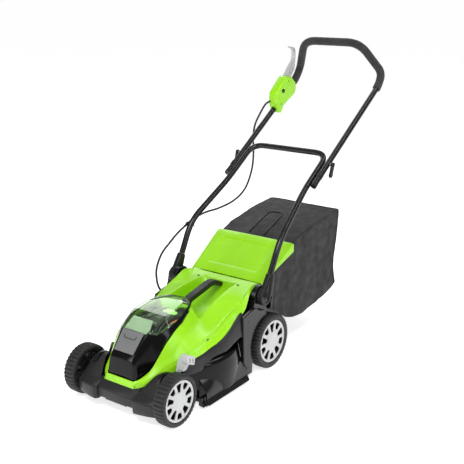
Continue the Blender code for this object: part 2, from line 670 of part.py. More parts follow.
# ---- rear flap and grass bag --------------------------------------------------
def rear_flap():
    hinge = pivot("flap_hinge", FLAP_HINGE)
    outer = [(0.2390, 0.2690), (0.2390, 0.2730), (0.4050, 0.3665), (0.4070, 0.3350), (0.2990, 0.2930)]
    flap = prism(outer, -0.153, 0.153)
    inner = [(0.2000, 0.2432), (0.2000, 0.2000), (0.4500, 0.2000), (0.4500, 0.3877)]
    cut(flap, prism(inner, -0.1498, 0.1498), "flap_hollow")
    cut(flap, prism([(0.272, 0.2902), (0.382, 0.3521), (0.382, 0.3621), (0.272, 0.3002)], -0.108, 0.108),
        "flap_panel")
    for i, x in enumerate((-0.105, 0.0, 0.105)):
        join(flap, cylinder((x, FLAP_HINGE.y, FLAP_HINGE.z), 0.0048, 0.030, "X", 14), f"flap_knuckle_{i}")
    cut(flap, cylinder(FLAP_HINGE, 0.0024, 0.32, "X", 14), "flap_bore")
    piece(flap, "rear_flap", "green_plastic", hinge)
    pin = cylinder(FLAP_HINGE, 0.0020, 0.270, "X", 12)
    piece(pin, "flap_hinge_pin", "steel")
    turns, per_turn, coil_r, wire_r = 4, 10, 0.0032, 0.0005
    helix = [(0.035 + 0.0016 * i / per_turn, FLAP_HINGE.y + coil_r * math.cos(math.tau * i / per_turn),
              FLAP_HINGE.z + coil_r * math.sin(math.tau * i / per_turn)) for i in range(turns * per_turn + 1)]
    piece(tube_curve(helix, wire_r, 0), "flap_spring", "steel")


BAG_X = 0.1440
BAG_SIDE = (
    # side view of the bag, (y, z), from the mouth's top round the rear to the mouth's foot
    (0.3000, 0.2950), (0.4050, 0.3545), (0.4700, 0.3790), (0.5600, 0.3970), (0.6600, 0.4080),
    (0.7260, 0.4120), (0.7400, 0.4020), (0.7280, 0.3000), (0.7180, 0.2150), (0.7420, 0.1460),
    (0.6950, 0.1150), (0.5700, 0.0880), (0.3950, 0.0890), (0.3300, 0.1480), (0.3000, 0.1680),
)


def inset_outline(points, distance):
    """Each corner moved inward along the bisector of a clockwise outline."""
    moved = []
    for before, corner, after in zip([points[-1], *points], points, [*points[1:], points[0]]):
        a = (Vector(corner) - Vector(before)).normalized()
        b = (Vector(after) - Vector(corner)).normalized()
        normal_a, normal_b = Vector((a.y, -a.x)), Vector((b.y, -b.x))
        bisector = (normal_a + normal_b).normalized()
        moved.append(tuple(Vector(corner) + bisector * distance / max(bisector.dot(normal_a), 0.3)))
    return moved


def grass_bag():
    travel = pivot("bag_travel", (0, 0.45, 0.25))
    fabric = prism(BAG_SIDE, -BAG_X, BAG_X)
    inside = inset_outline(BAG_SIDE, 0.0025)
    inside[0] = (0.29, inside[0][1] - 0.006)
    inside[-1] = (0.29, inside[-1][1])
    cut(fabric, prism(inside, -BAG_X + 0.0025, BAG_X - 0.0025), "bag_inside")
    piece(fabric, "bag_fabric", "bag_fabric", travel)
    ring = [(-BAG_X, 0.1690), (BAG_X, 0.1690), (BAG_X, 0.2880), (-BAG_X, 0.2880)]
    hole = [(-0.1240, 0.1800), (0.1240, 0.1800), (0.1240, 0.2740), (-0.1240, 0.2740)]
    piece(prism(ring, 0.2892, 0.2996, "Y", holes=[hole]), "bag_mouth_frame", "black_plastic", travel)
    wire = [(0.1330, 0.3020, 0.2780), (0.1330, 0.4100, 0.3420), (0.1330, 0.4700, 0.3660),
            (0.1330, 0.5600, 0.3850), (0.1330, 0.7140, 0.4000)]
    path = filleted(wire + [(-x, y, z) for x, y, z in reversed(wire)], 0.02, 2)
    piece(tube_curve(path, 0.0025, 1), "bag_frame", "steel", travel)
    loop = [(0.030, 0.4160, 0.3700), (0.030, 0.4300, 0.3770), (0.030, 0.5420, 0.4170)]
    path = filleted(loop + [(-x, y, z) for x, y, z in reversed(loop)], 0.018, 4)
    piece(tube_curve(path, 0.0026, 1), "bag_handle", "black_steel", travel)


# ---- handle -------------------------------------------------------------------
LEG_LINE = Vector((0, math.cos(LEG_ANGLE), math.sin(LEG_ANGLE)))
LOWER_LEG = (
    # from the socket up to the cross bar
    Vector((0.178, *(HANDLE_PIVOT + LEG_LINE * 0.0723).yz)), Vector((0.179, 0.2863, 0.4148)),
    Vector((0.1530, 0.4700, 0.5345)), Vector((0.1530, 0.6150, 0.6290)),
)
UPPER_LEG = (Vector((0.175, 0.4900, 0.5456)), Vector((0.175, 0.9300, 0.8313)),
             Vector((0.172, 0.9580, 0.8740)), Vector((0.1135, 0.8880, 0.9805)))


def mirrored(half):
    return [*half, *[Vector((-p.x, p.y, p.z)) for p in reversed(half)]]


def handle_ear(name, side, parent):
    """Ribbed round ear on the pivot, with the socket that takes a leg of the handle."""
    centre = (HANDLE_PIVOT.y, HANDLE_PIVOT.z)
    angle = math.degrees(LEG_ANGLE)
    tip = HANDLE_PIVOT + LEG_LINE * 0.072
    across = Vector((0, -LEG_LINE.z, LEG_LINE.y)) * 0.0135
    outline = arc(centre, 0.029, angle + 62, angle + 298, 16)
    outline += [((tip - across).y, (tip - across).z), ((tip + across).y, (tip + across).z)]
    ear = prism(outline, *spans(side, 0.1668, 0.1890))
    join(ear, cylinder((side * 0.1945, *centre), 0.0028, 0.0120, "X", 12), f"base_bolt_{name}")
    join(ear, cylinder((side * BASE_LEVER_X, *centre), 0.0018, 0.0150, "Y", 10), f"base_pin_{name}")
    piece(ear, f"handle_socket_{name}", "black_plastic", parent)


def cam_lever(name, side, hub, end, radius, turn_x, pin_r):
    """Quick-release lever, forked over the end of a bolt and hinged on its cross pin."""
    place = Vector((side * turn_x, hub.y, hub.z))
    turn = pivot(f"{name}_turn", place)
    outline = stadium((hub.y, hub.z), (end.y, end.z), radius)
    lever = prism(outline, *spans(side, turn_x - 0.6 * radius, turn_x + 0.6 * radius))
    soften(lever, 0.2 * radius)
    open_end = -2 * radius if end.z > hub.z else 2 * radius
    heights = sorted((hub.z + open_end, hub.z - open_end * 0.3))
    inner, outer = spans(side, turn_x - radius, turn_x + radius)
    cut(lever, box((inner, hub.y - 0.0034, heights[0]), (outer, hub.y + 0.0034, heights[1])), f"{name}_fork")
    cut(lever, cylinder(place, pin_r + 0.0003, 4 * radius, "Y", 10), f"{name}_pin_hole")
    piece(lever, name, "black_plastic", turn)


def stadium(start, end, radius, steps=5):
    """Outline of a bar with round ends, in the side view."""
    angle = math.degrees(math.atan2(end[1] - start[1], end[0] - start[0]))
    tail = arc(start, radius, angle + 90, angle + 270, steps)
    return tail + arc(end, radius, angle - 90, angle + 90, steps)


def handle():
    lower = pivot("lower_handle_fold", HANDLE_PIVOT)
    path = filleted(mirrored(LOWER_LEG), 0.045, 4)
    piece(tube_curve(path, TUBE_R, 3), "lower_handle_tube", "black_steel", lower)
    upper = pivot("upper_handle_fold", UPPER_JOINT)
    path = filleted(mirrored(UPPER_LEG), 0.045, 4)
    piece(tube_curve(path, TUBE_R, 3), "upper_handle_tube", "black_steel", upper)
    start = UPPER_LEG[0] + (UPPER_LEG[1] - UPPER_LEG[0]) * 0.957
    foam_path = [p for p in path if p.y > start.y or p.z > start.z]
    foam_path = [start, *foam_path, Vector((-start.x, start.y, start.z))]
    foam = tube_mesh(foam_path, FOAM_R, 3, caps=False)
    piece(shell(foam, FOAM_R - TUBE_R - 0.0004), "foam_grip", "foam", upper)
    for name, side in SIDES:
        handle_ear(name, side, lower)
        reach = Vector((0, 0.014, 0.066)) if side > 0 else Vector((0, -0.012, -0.044))
        cam_lever(f"base_lever_{name}", side, HANDLE_PIVOT, HANDLE_PIVOT + reach, 0.0085,
                  BASE_LEVER_X, 0.0018)
        cam_lever(f"joint_lever_{name}", side, UPPER_JOINT, UPPER_JOINT + Vector((0, -0.014, -0.040)), 0.0065,
                  JOINT_LEVER_X, 0.0014)
        bolt = cylinder((side * 0.1862, *UPPER_JOINT.yz), 0.0055, 0.0016, "X", 12)
        stem = cylinder((side * 0.1910, *UPPER_JOINT.yz), 0.0026, 0.0100, "X", 12)
        join(bolt, stem, f"joint_bolt_stem_{name}")
        pin = cylinder((side * JOINT_LEVER_X, *UPPER_JOINT.yz), 0.0014, 0.0115, "Y", 10)
        join(bolt, pin, f"joint_pin_{name}")
        piece(bolt, f"joint_bolt_{name}", "steel", upper)
    return lower, upper


def switch_gear(upper):
    """Switch box on one leg, with its bail lever and lock-off button."""
    leg = (UPPER_LEG[1] - UPPER_LEG[0]).normalized()
    box_side = [(0.836, 0.8520), (0.869, 0.8480), (0.903, 0.8230), (0.905, 0.7950), (0.894, 0.7800),
                (0.818, 0.7430), (0.805, 0.7200), (0.787, 0.7200), (0.769, 0.7550), (0.771, 0.7970)]
    body = prism(box_side, -0.1915, -0.1545)
    soften(body, 0.004)
    start, end = UPPER_LEG[0].copy(), UPPER_LEG[1].copy()
    start.x = end.x = -0.175
    cut(body, tube_mesh([start, end + leg * 0.1], TUBE_R + 0.0006, 3), "leg_bore")
    cut(body, box((-0.1875, 0.840, 0.806), (-0.1750, 0.95, 0.95)), "lever_slot")
    cut(body, cylinder((-0.1555, 0.812, 0.800), 0.0076, 0.0120, "X", 14), "button_bore")
    piece(body, "switch_box", "green_plastic", upper)
    turn = pivot("bail_turn", BAIL_HINGE)
    plate = [(0.8480, 0.8160), (0.8640, 0.8100), (0.9240, 0.8680), (0.9290, 0.9000), (0.9300, 0.9380),
             (0.9230, 0.9500), (0.8880, 0.9570), (0.8850, 0.9520), (0.9140, 0.9420), (0.9120, 0.9050),
             (0.8960, 0.8930), (0.8480, 0.8440)]
    bail = prism(plate, -0.1860, -0.1765)
    piece(bail, "bail_lever", "silver_plastic", turn)
    press = pivot("lock_button_slide", (-0.1540, 0.812, 0.800))
    button = cylinder((-0.1540, 0.812, 0.800), 0.007, 0.008, "X", 14)
    piece(button, "lock_button", "black_plastic", press)


# ---- lead ---------------------------------------------------------------------
UPPER_ROUTE = ((-0.1850, 0.7675, 0.7640), (-0.1895, 0.7440, 0.7530), (-0.1920, 0.7120, 0.7210),
               (-0.1940, 0.6850, 0.6850), (-0.1945, 0.6760, 0.6400), (-0.1945, 0.6780, 0.5800),
               (-0.1940, 0.6660, 0.5200), (-0.1930, 0.6240, 0.4600), (-0.1930, 0.5550, 0.4290),
               (-0.1935, 0.4640, 0.4190), (-0.1940, 0.3770, 0.4200), (-0.1945, 0.3020, 0.4080))
LOWER_ROUTE = ((-0.1945, 0.2690, 0.3960), (-0.1930, 0.2300, 0.3820), (-0.1910, 0.1900, 0.3620),
               (-0.1905, 0.1440, 0.3330), (-0.1910, 0.1180, 0.2900), (-0.1910, 0.1170, 0.2500),
               (-0.1915, 0.1270, 0.2200), (-0.1905, 0.1380, 0.2070), (-0.1867, 0.1400, 0.2040))


def lead(lower, upper):
    """The switch lead, clipped to the lower handle and run into the body beside the pivot."""
    piece(tube_curve(smooth_route(UPPER_ROUTE, 3), CABLE_R, 2), "cable_upper", "cable", upper)
    piece(tube_curve(smooth_route(LOWER_ROUTE, 3), CABLE_R, 2), "cable_lower", "cable", lower)
    start, end = Vector(UPPER_ROUTE[-1]), Vector(LOWER_ROUTE[0])
    along = (end - start).normalized()
    clip = tube_mesh([start + along * 0.0015, end - along * 0.0015], 0.0044, 2)
    piece(clip, "cable_clip", "black_plastic", lower)
    gland = cylinder((-0.1816, LOWER_ROUTE[-1][1], LOWER_ROUTE[-1][2]), 0.0055, 0.0066, "X", 12)
    piece(gland, "cable_gland", "black_plastic")


def build():
    deck_housing()
    front_bumper()
    for name, side in SIDES:
        side_bracket(name, side)
    top_cover()
    battery_door(pivot("door_hinge", DOOR_HINGE))
    carry_grip()
    drive()
    battery_pack()
    for name, side in SIDES:
        wheel((FRONT_Y, FRONT_R), side, f"front_{name}", FRONT_R, FRONT_HUB_R)
        wheel((REAR_Y, REAR_R), side, f"rear_{name}", REAR_R, REAR_HUB_R)
    height_gear()
    rear_flap()
    grass_bag()
    lower, upper = handle()
    switch_gear(upper)
    lead(lower, upper)


build()
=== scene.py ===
"""Push lawn mower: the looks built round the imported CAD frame."""

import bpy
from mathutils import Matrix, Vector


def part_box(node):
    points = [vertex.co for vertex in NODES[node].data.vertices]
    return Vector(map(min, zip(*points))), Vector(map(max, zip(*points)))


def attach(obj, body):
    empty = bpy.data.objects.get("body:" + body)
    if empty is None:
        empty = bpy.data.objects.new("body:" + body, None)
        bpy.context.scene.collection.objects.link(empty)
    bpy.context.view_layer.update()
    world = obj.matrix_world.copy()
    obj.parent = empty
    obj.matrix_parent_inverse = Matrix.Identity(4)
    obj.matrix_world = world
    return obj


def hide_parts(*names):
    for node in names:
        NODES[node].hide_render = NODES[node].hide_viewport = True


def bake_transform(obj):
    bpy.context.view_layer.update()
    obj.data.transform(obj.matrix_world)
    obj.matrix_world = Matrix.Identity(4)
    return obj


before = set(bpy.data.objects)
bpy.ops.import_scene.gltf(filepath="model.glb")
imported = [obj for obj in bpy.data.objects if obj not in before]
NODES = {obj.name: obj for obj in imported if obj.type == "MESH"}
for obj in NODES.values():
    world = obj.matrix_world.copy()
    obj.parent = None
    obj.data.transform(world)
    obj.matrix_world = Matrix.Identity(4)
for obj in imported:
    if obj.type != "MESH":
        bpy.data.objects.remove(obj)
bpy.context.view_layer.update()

import math
from contextlib import contextmanager

import bmesh
import bpy
from mathutils import Matrix, Vector, noise

SCENE = bpy.context.scene


# ---- places taken from the frame ----------------------------------------------
def centre(node):
    low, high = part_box(node)
    return (low + high) / 2


# Shapes below are written in the mower's own frame, whose y = 0 is the blade's axis.
SHIFT = Matrix.Translation((0, centre("motor_can").y, 0))


def metres(value):
    """Millimetres in a table of any depth, as metres."""
    return [metres(v) for v in value] if isinstance(value, (list, tuple)) else value / 1000


# ---- materials ----------------------------------------------------------------
def new_material(name, colour, roughness=0.5, metallic=0.0, **inputs):
    mat = bpy.data.materials.new(name)
    mat.use_nodes = True
    inputs = {"Base_Color": (*colour, 1), "Roughness": roughness, "Metallic": metallic, **inputs}
    for key, value in inputs.items():
        shader_of(mat).inputs[key.replace("_", " ")].default_value = value
    return mat


def add(mat, kind, **values):
    """A new node; a value goes to the socket of that name, or else to the node's own setting."""
    made = mat.node_tree.nodes.new(kind)
    for key, value in values.items():
        socket = key.replace("_", " ")
        if socket in made.inputs:
            made.inputs[socket].default_value = value
        else:
            setattr(made, key, value)
    return made


def shader_of(mat):
    return mat.node_tree.nodes["Principled BSDF"]


def link(mat, a, b):
    mat.node_tree.links.new(a, b)


def coords(mat, scale=(1, 1, 1), rotation=(0, 0, 0)):
    place_at = add(mat, "ShaderNodeTexCoord")
    turn = add(mat, "ShaderNodeMapping", Scale=scale, Rotation=rotation)
    link(mat, place_at.outputs["Object"], turn.inputs["Vector"])
    return turn.outputs["Vector"]


def noise_texture(mat, scale, detail=3.0, rough=0.55, vector=None):
    made = add(mat, "ShaderNodeTexNoise", Scale=scale, Detail=detail, Roughness=rough)
    link(mat, vector or coords(mat), made.inputs["Vector"])
    return made.outputs["Fac"]


def remap(mat, value, to_low, to_high):
    """The middle of a noise's range, stretched from to_low to to_high."""
    made = add(mat, "ShaderNodeMapRange", From_Min=0.35, From_Max=0.65, To_Min=to_low, To_Max=to_high)
    link(mat, value, made.inputs["Value"])
    return made.outputs["Result"]


def vary_roughness(mat, value, low, high):
    link(mat, remap(mat, value, low, high), shader_of(mat).inputs["Roughness"])


def vary_colour(mat, value, dark, light):
    factor, first, second, result = 0, 6, 7, 2      # the mix node's colour sockets
    mix = add(mat, "ShaderNodeMix", data_type="RGBA")
    mix.inputs[first].default_value = (*dark, 1)
    mix.inputs[second].default_value = (*light, 1)
    link(mat, remap(mat, value, 0, 1), mix.inputs[factor])
    link(mat, mix.outputs[result], shader_of(mat).inputs["Base Color"])


def bump(mat, height, strength, distance, round_edges=0.0):
    made = add(mat, "ShaderNodeBump", Strength=strength, Distance=distance)
    link(mat, height, made.inputs["Height"])
    if round_edges:
        rounder = add(mat, "ShaderNodeBevel", samples=4, Radius=round_edges)
        link(mat, rounder.outputs["Normal"], made.inputs["Normal"])
    link(mat, made.outputs["Normal"], shader_of(mat).inputs["Normal"])


def moulded(name, colour, roughness, grain=0.0, coat=0.0, round_edges=0.0, spread=0.06, mirror=0.5):
    """Injection-moulded plastic: faint flow marks, a fine grain and handling marks in the gloss."""
    mat = new_material(name, colour, roughness, Coat_Weight=coat, Coat_Roughness=0.08,
        Specular_IOR_Level=mirror)
    marks = noise_texture(mat, 14.0, 5.0, 0.6)
    vary_roughness(mat, marks, max(0.03, roughness - spread), roughness + spread)
    cloud = noise_texture(mat, 5.0, 2.0)
    vary_colour(mat, cloud, tuple(c * 0.92 for c in colour), tuple(min(1, c * 1.06) for c in colour))
    fine = noise_texture(mat, 2600.0 if grain else 90.0, 2.0)
    bump(mat, fine, grain or 0.04, 0.00025 if grain else 0.0006, round_edges)
    return mat


MAT = {}
MAT["green"] = moulded("green_shell", (0.3, 0.7, 0.005), 0.3, round_edges=0.0012)
MAT["green_box"] = moulded("green_box_shell", (0.3, 0.7, 0.005), 0.3)
MAT["green_in"] = moulded("green_inner", (0.1, 0.19, 0.07), 0.42)
MAT["disc"] = moulded("light_green", (0.42, 0.8, 0.22), 0.4)
MAT["black"] = moulded("black_grained", (0.01, 0.01, 0.0105), 0.4, grain=0.25, round_edges=0.0014, mirror=0.3)
MAT["bumper"] = moulded("bumper_black", (0.017, 0.017, 0.0175), 0.4, grain=0.22, round_edges=0.0016,
    mirror=0.32)
MAT["gloss"] = moulded("black_gloss", (0.0022, 0.0022, 0.0024), 0.12, spread=0.03, round_edges=0.001,
    mirror=0.2)
MAT["satin"] = moulded("deck_satin", (0.005, 0.005, 0.0053), 0.19, spread=0.04, round_edges=0.0016,
    mirror=0.36)
# colour of the pale sheet under the window's front facet: a painted reflection of the white surroundings
MAT["pale"] = moulded("painted_window_reflection", (0.27, 0.31, 0.27), 0.45)
MAT["grey"] = moulded("inlay_grey", (0.17, 0.172, 0.175), 0.38, grain=0.12)
MAT["silver"] = moulded("silver_plastic", (0.49, 0.495, 0.5), 0.3, coat=0.15)
MAT["red"] = moulded("key_red", (0.85, 0.14, 0.03), 0.35)
MAT["case"] = moulded("battery_case", (0.016, 0.018, 0.016), 0.42, grain=0.2, round_edges=0.0015)
MAT["grip"] = moulded("grip_black", (0.012, 0.012, 0.0125), 0.45, grain=0.2, mirror=0.35)


def rubber_material():
    mat = new_material("tyre_rubber", (0.016, 0.016, 0.0165), 0.62, Specular_IOR_Level=0.4)
    dust = noise_texture(mat, 30.0, 6.0, 0.65)
    vary_colour(mat, dust, (0.012, 0.012, 0.0125), (0.024, 0.0235, 0.023))
    vary_roughness(mat, dust, 0.48, 0.74)
    bump(mat, noise_texture(mat, 900.0, 3.0), 0.18, 0.0004, 0.0008)
    return mat


def foam_material():
    """Closed-cell foam sleeve: fine pores and a soft bloom."""
    mat = new_material("foam", (0.016, 0.016, 0.017), 0.82, Sheen_Weight=0.12, Sheen_Roughness=0.5)
    cells = add(mat, "ShaderNodeTexVoronoi")
    cells.inputs["Scale"].default_value = 1400.0
    link(mat, coords(mat), cells.inputs["Vector"])
    vary_colour(mat, noise_texture(mat, 22.0, 4.0), (0.012, 0.012, 0.013), (0.021, 0.021, 0.022))
    vary_roughness(mat, noise_texture(mat, 60.0, 3.0), 0.72, 0.9)
    bump(mat, cells.outputs["Distance"], 0.35, 0.0005)
    return mat


def coated_tube_material():
    """Gloss powder coat on steel tube: a faint orange peel."""
    mat = new_material("powder_coat", (0.006, 0.006, 0.0065), 0.2, Specular_IOR_Level=0.4)
    vary_roughness(mat, noise_texture(mat, 18.0, 5.0), 0.17, 0.31)
    vary_colour(mat, noise_texture(mat, 40.0, 2.0), (0.005, 0.005, 0.0055), (0.009, 0.009, 0.0095))
    bump(mat, noise_texture(mat, 420.0, 2.0), 0.1, 0.0005)
    return mat


def steel_material(name, colour, roughness):
    mat = new_material(name, colour, roughness, 1.0)
    brushed = noise_texture(mat, 60.0, 4.0, 0.7, coords(mat, (1, 1, 14)))
    vary_roughness(mat, brushed, roughness - 0.08, roughness + 0.14)
    vary_colour(mat, noise_texture(mat, 9.0), tuple(c * 0.82 for c in colour), colour)
    bump(mat, brushed, 0.06, 0.0004)
    return mat


def cable_material():
    mat = new_material("cable", (0.012, 0.012, 0.0125), 0.48)
    vary_roughness(mat, noise_texture(mat, 50.0), 0.4, 0.58)
    vary_colour(mat, noise_texture(mat, 12.0), (0.01, 0.01, 0.0105), (0.016, 0.016, 0.0165))
    bump(mat, noise_texture(mat, 700.0), 0.08, 0.0004)
    return mat


def woven_material(name, dark, light, cell=620.0, strength=0.5):
    """Plain weave of flat polyester yarn, with faint shade differences between yarns."""
    mat = new_material(name, dark, 0.62, Specular_IOR_Level=0.35)
    place_at = coords(mat)
    heights = []
    for turn in ((0, 0, 0), (0, 0, math.pi / 2)):
        wave = add(mat, "ShaderNodeTexWave", wave_type="BANDS", bands_direction="DIAGONAL",
            Scale=cell / 6.2832 * 2, Distortion=0.5, Detail=1.0)
        link(mat, coords(mat, rotation=turn), wave.inputs["Vector"])
        heights.append(wave.outputs["Fac"])
    top = add(mat, "ShaderNodeMath", operation="MAXIMUM")
    for height, socket in zip(heights, top.inputs):
        link(mat, height, socket)
    vary_colour(mat, noise_texture(mat, 11.0, 6.0, 0.65, place_at), dark, light)
    vary_roughness(mat, noise_texture(mat, 34.0), 0.52, 0.7)
    bump(mat, top.outputs["Value"], strength, 0.0005)
    return mat


def window_material():
    """Clear green-tinted moulding that lets lamps light what lies under it."""
    mat = new_material("clear_window", (0.86, 0.985, 0.83), 0.03, Transmission_Weight=1.0, IOR=1.45)
    vary_roughness(mat, noise_texture(mat, 24.0, 5.0), 0.02, 0.06)
    clear = add(mat, "ShaderNodeBsdfTransparent", Color=(0.88, 0.98, 0.84, 1))
    path = add(mat, "ShaderNodeLightPath")
    mix = add(mat, "ShaderNodeMixShader")
    link(mat, path.outputs["Is Shadow Ray"], mix.inputs["Fac"])
    link(mat, shader_of(mat).outputs["BSDF"], mix.inputs[1])
    link(mat, clear.outputs["BSDF"], mix.inputs[2])
    link(mat, mix.outputs["Shader"], mat.node_tree.nodes["Material Output"].inputs["Surface"])
    return mat


MAT["rubber"] = rubber_material()
MAT["foam"] = foam_material()
MAT["tube"] = coated_tube_material()
MAT["steel"] = steel_material("zinc_steel", (0.62, 0.62, 0.63), 0.28)
MAT["motor"] = steel_material("motor_steel", (0.34, 0.34, 0.35), 0.36)
MAT["blade"] = steel_material("blade_steel", (0.5, 0.5, 0.51), 0.3)
MAT["cable"] = cable_material()
MAT["bag"] = woven_material("bag_cloth", (0.005, 0.005, 0.0053), (0.01, 0.01, 0.0105))
# a lighter copy of the bag cloth for the bag's top: a painted highlight on its up-facing faces
MAT["bag_top"] = woven_material("bag_top_cloth", (0.02, 0.02, 0.021), (0.034, 0.034, 0.036), 520.0, 0.6)
MAT["piping"] = woven_material("bag_piping", (0.01, 0.01, 0.011), (0.018, 0.018, 0.019), 900.0, 0.4)
MAT["window"] = window_material()


# ---- shapes -------------------------------------------------------------------
def in_scene(name, data):
    obj = bpy.data.objects.new(name, data)
    SCENE.collection.objects.link(obj)
    return obj


def mesh_object(name, verts, faces):
    mesh = bpy.data.meshes.new(name)
    mesh.from_pydata([tuple(v) for v in verts], [], faces)
    mesh.validate()
    return in_scene(name, mesh)


@contextmanager
def edited(obj):
    """The object's mesh as a bmesh, written back at the end."""
    bm = bmesh.new()
    bm.from_mesh(obj.data)
    yield bm
    bm.to_mesh(obj.data)
    bm.free()


def fix_normals(obj):
    with edited(obj) as bm:
        bmesh.ops.remove_doubles(bm, verts=bm.verts, dist=1e-7)
        bmesh.ops.recalc_face_normals(bm, faces=bm.faces)
    return obj


def fix_up(obj):
    """Faces of an open surface turned so that they look up and out."""
    with edited(obj) as bm:
        bmesh.ops.recalc_face_normals(bm, faces=bm.faces)
        if sum(f.normal.z * f.calc_area() for f in bm.faces) < 0:
            bmesh.ops.reverse_faces(bm, faces=bm.faces)
    return obj


def applied(obj):
    """The object with its modifiers made part of its mesh."""
    bpy.context.view_layer.update()
    shown = obj.evaluated_get(bpy.context.evaluated_depsgraph_get())
    mesh = bpy.data.meshes.new_from_object(shown)
    mesh.transform(obj.matrix_world)
    name = obj.name
    bpy.data.objects.remove(obj, do_unlink=True)
    mesh.name = name
    return in_scene(name, mesh)


def modified(obj, kind, **settings):
    mod = obj.modifiers.new(kind.lower(), kind)
    for key, value in settings.items():
        setattr(mod, key, value)
    return obj


def soften(obj, width, segments=3, angle=35):
    return applied(modified(obj, "BEVEL", width=width, segments=segments, limit_method="ANGLE",
        angle_limit=math.radians(angle), harden_normals=False))


def thicken(obj, thickness):
    return modified(obj, "SOLIDIFY", thickness=thickness, offset=-1, use_even_offset=True)


def subdivide(obj, levels):
    return applied(modified(obj, "SUBSURF", levels=levels, render_levels=levels))


def shell(obj, levels, wall):
    """An open surface made smooth, then given a wall."""
    return applied(thicken(subdivide(obj, levels), wall))


def cut(obj, cutter):
    made = applied(modified(obj, "BOOLEAN", operation="DIFFERENCE", solver="EXACT", object=cutter))
    bpy.data.objects.remove(cutter, do_unlink=True)
    return made


def joined(name, objects):
    bm = bmesh.new()
    for obj in objects:
        obj.data.transform(obj.matrix_world)
        bm.from_mesh(obj.data)
        bpy.data.objects.remove(obj, do_unlink=True)
    mesh = bpy.data.meshes.new(name)
    bm.to_mesh(mesh)
    bm.free()
    return in_scene(name, mesh)


def shade(obj, angle=32):
    obj.data.shade_smooth()
    obj.data.set_sharp_from_angle(angle=math.radians(angle))
    return obj


def place(obj, body, material, replaces=(), shift=True, angle=32):
    """Finish a piece: made smooth, given its material, moved to the row frame, riding on its body."""
    if shift:
        obj.data.transform(SHIFT)
    shade(obj, angle)
    obj.data.materials.clear()
    obj.data.materials.append(MAT[material])
    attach(obj, body)
    if replaces:
        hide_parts(*replaces)
    return obj


def turned(name, profile, place_at, axis="X", steps=96, side=1, wave=None):
    """A closed (radius, height) profile turned about an axis; wave(angle, point index) moves a radius."""
    verts, faces, count = [], [], len(profile)
    for i in range(steps):
        a = math.tau * i / steps
        for j, (r, h) in enumerate(profile):
            if wave:
                r += wave(i, j)
            c, s = r * math.cos(a), r * math.sin(a)
            p = (side * h, c, s) if axis == "X" else (c, s, h)
            verts.append(Vector(p) + Vector(place_at))
    for i in range(steps):
        k = (i + 1) % steps
        for j in range(count):
            m = (j + 1) % count
            faces.append((i * count + j, k * count + j, k * count + m, i * count + m))
    return fix_normals(mesh_object(name, verts, faces))


def rounded(points, radius, steps=4, closed=True):
    """A 2D or 3D outline with its corners rounded. radius may be a list, one per point."""
    points = [Vector(p) for p in points]
    count = len(points)
    radii = radius if isinstance(radius, (list, tuple)) else [radius] * count
    path = []
    for i, corner in enumerate(points):
        if not closed and i in (0, count - 1):
            path.append(corner)
            continue
        before, after = points[i - 1], points[(i + 1) % count]
        r = radii[i]
        reach = min(r, (before - corner).length * 0.48, (after - corner).length * 0.48)
        if reach < 1e-6:
            path.append(corner)
            continue
        start = corner + (before - corner).normalized() * reach
        end = corner + (after - corner).normalized() * reach
        for k in range(steps + 1):
            t = k / steps
            path.append(start * (1 - t) ** 2 + corner * 2 * t * (1 - t) + end * t * t)
    return path


def plate(name, outline, low, high, axis="X"):
    """A flat outline, given clockwise or not, made solid from low to high along an axis."""
    def spot(p, h):
        u, v = p[0], p[1]
        return (h, u, v) if axis == "X" else (u, h, v) if axis == "Y" else (u, v, h)
    count = len(outline)
    verts = [spot(p, low) for p in outline] + [spot(p, high) for p in outline]
    faces = [tuple(range(count)), tuple(range(2 * count - 1, count - 1, -1))]
    faces += [(i, (i + 1) % count, count + (i + 1) % count, count + i) for i in range(count)]
    return fix_normals(mesh_object(name, verts, faces))


def block(name, low, high):
    x0, y0, z0 = low
    x1, y1, z1 = high
    return plate(name, [(y0, z0), (y1, z0), (y1, z1), (y0, z1)], x0, x1)


def arc(middle, radius, start, stop, steps):
    turns = [math.radians(start + (stop - start) * i / steps) for i in range(steps + 1)]
    return [(middle[0] + radius * math.cos(a), middle[1] + radius * math.sin(a)) for a in turns]


def route(points, steps=8):
    """A smooth curve through the points."""
    points = [Vector(p) for p in points]
    points = [points[0] * 2 - points[1], *points, points[-1] * 2 - points[-2]]
    path = []
    for a, b, c, d in zip(points, points[1:], points[2:], points[3:]):
        for i in range(steps):
            t = i / steps
            path.append(0.5 * (2 * b + (c - a) * t + (2 * a - 5 * b + 4 * c - d) * t * t
                + (3 * b - 3 * c + d - a) * t ** 3))
    path.append(points[-2])
    return path


def length_of(path):
    return sum((b - a).length for a, b in zip(path, path[1:]))


def swept(name, path, radius=None, sides=20, section=None, up=None):
    """A tube, or any section, along a path. radius may be a function of the share of length."""
    path = [Vector(p) for p in path]
    total, travelled = length_of(path), 0.0
    tangents = [(b - a).normalized() for a, b in zip(path, path[1:])]
    tangents = [tangents[0]] + [(a + b).normalized() for a, b in zip(tangents, tangents[1:])] + [tangents[-1]]
    normal = Vector(up) if up else tangents[0].orthogonal()
    rows = []
    for i, (p, t) in enumerate(zip(path, tangents)):
        if i:
            travelled += (p - path[i - 1]).length
        normal = (normal - t * normal.dot(t)).normalized()
        other = t.cross(normal)
        share = travelled / total
        if section:
            ring = section(share)
        else:
            r = radius(share) if callable(radius) else radius
            ring = [(r * math.cos(math.tau * k / sides), r * math.sin(math.tau * k / sides))
                for k in range(sides)]
        rows.append([p + normal * u + other * v for u, v in ring])
    return fix_normals(grid(name, rows, closed=True, caps=True))


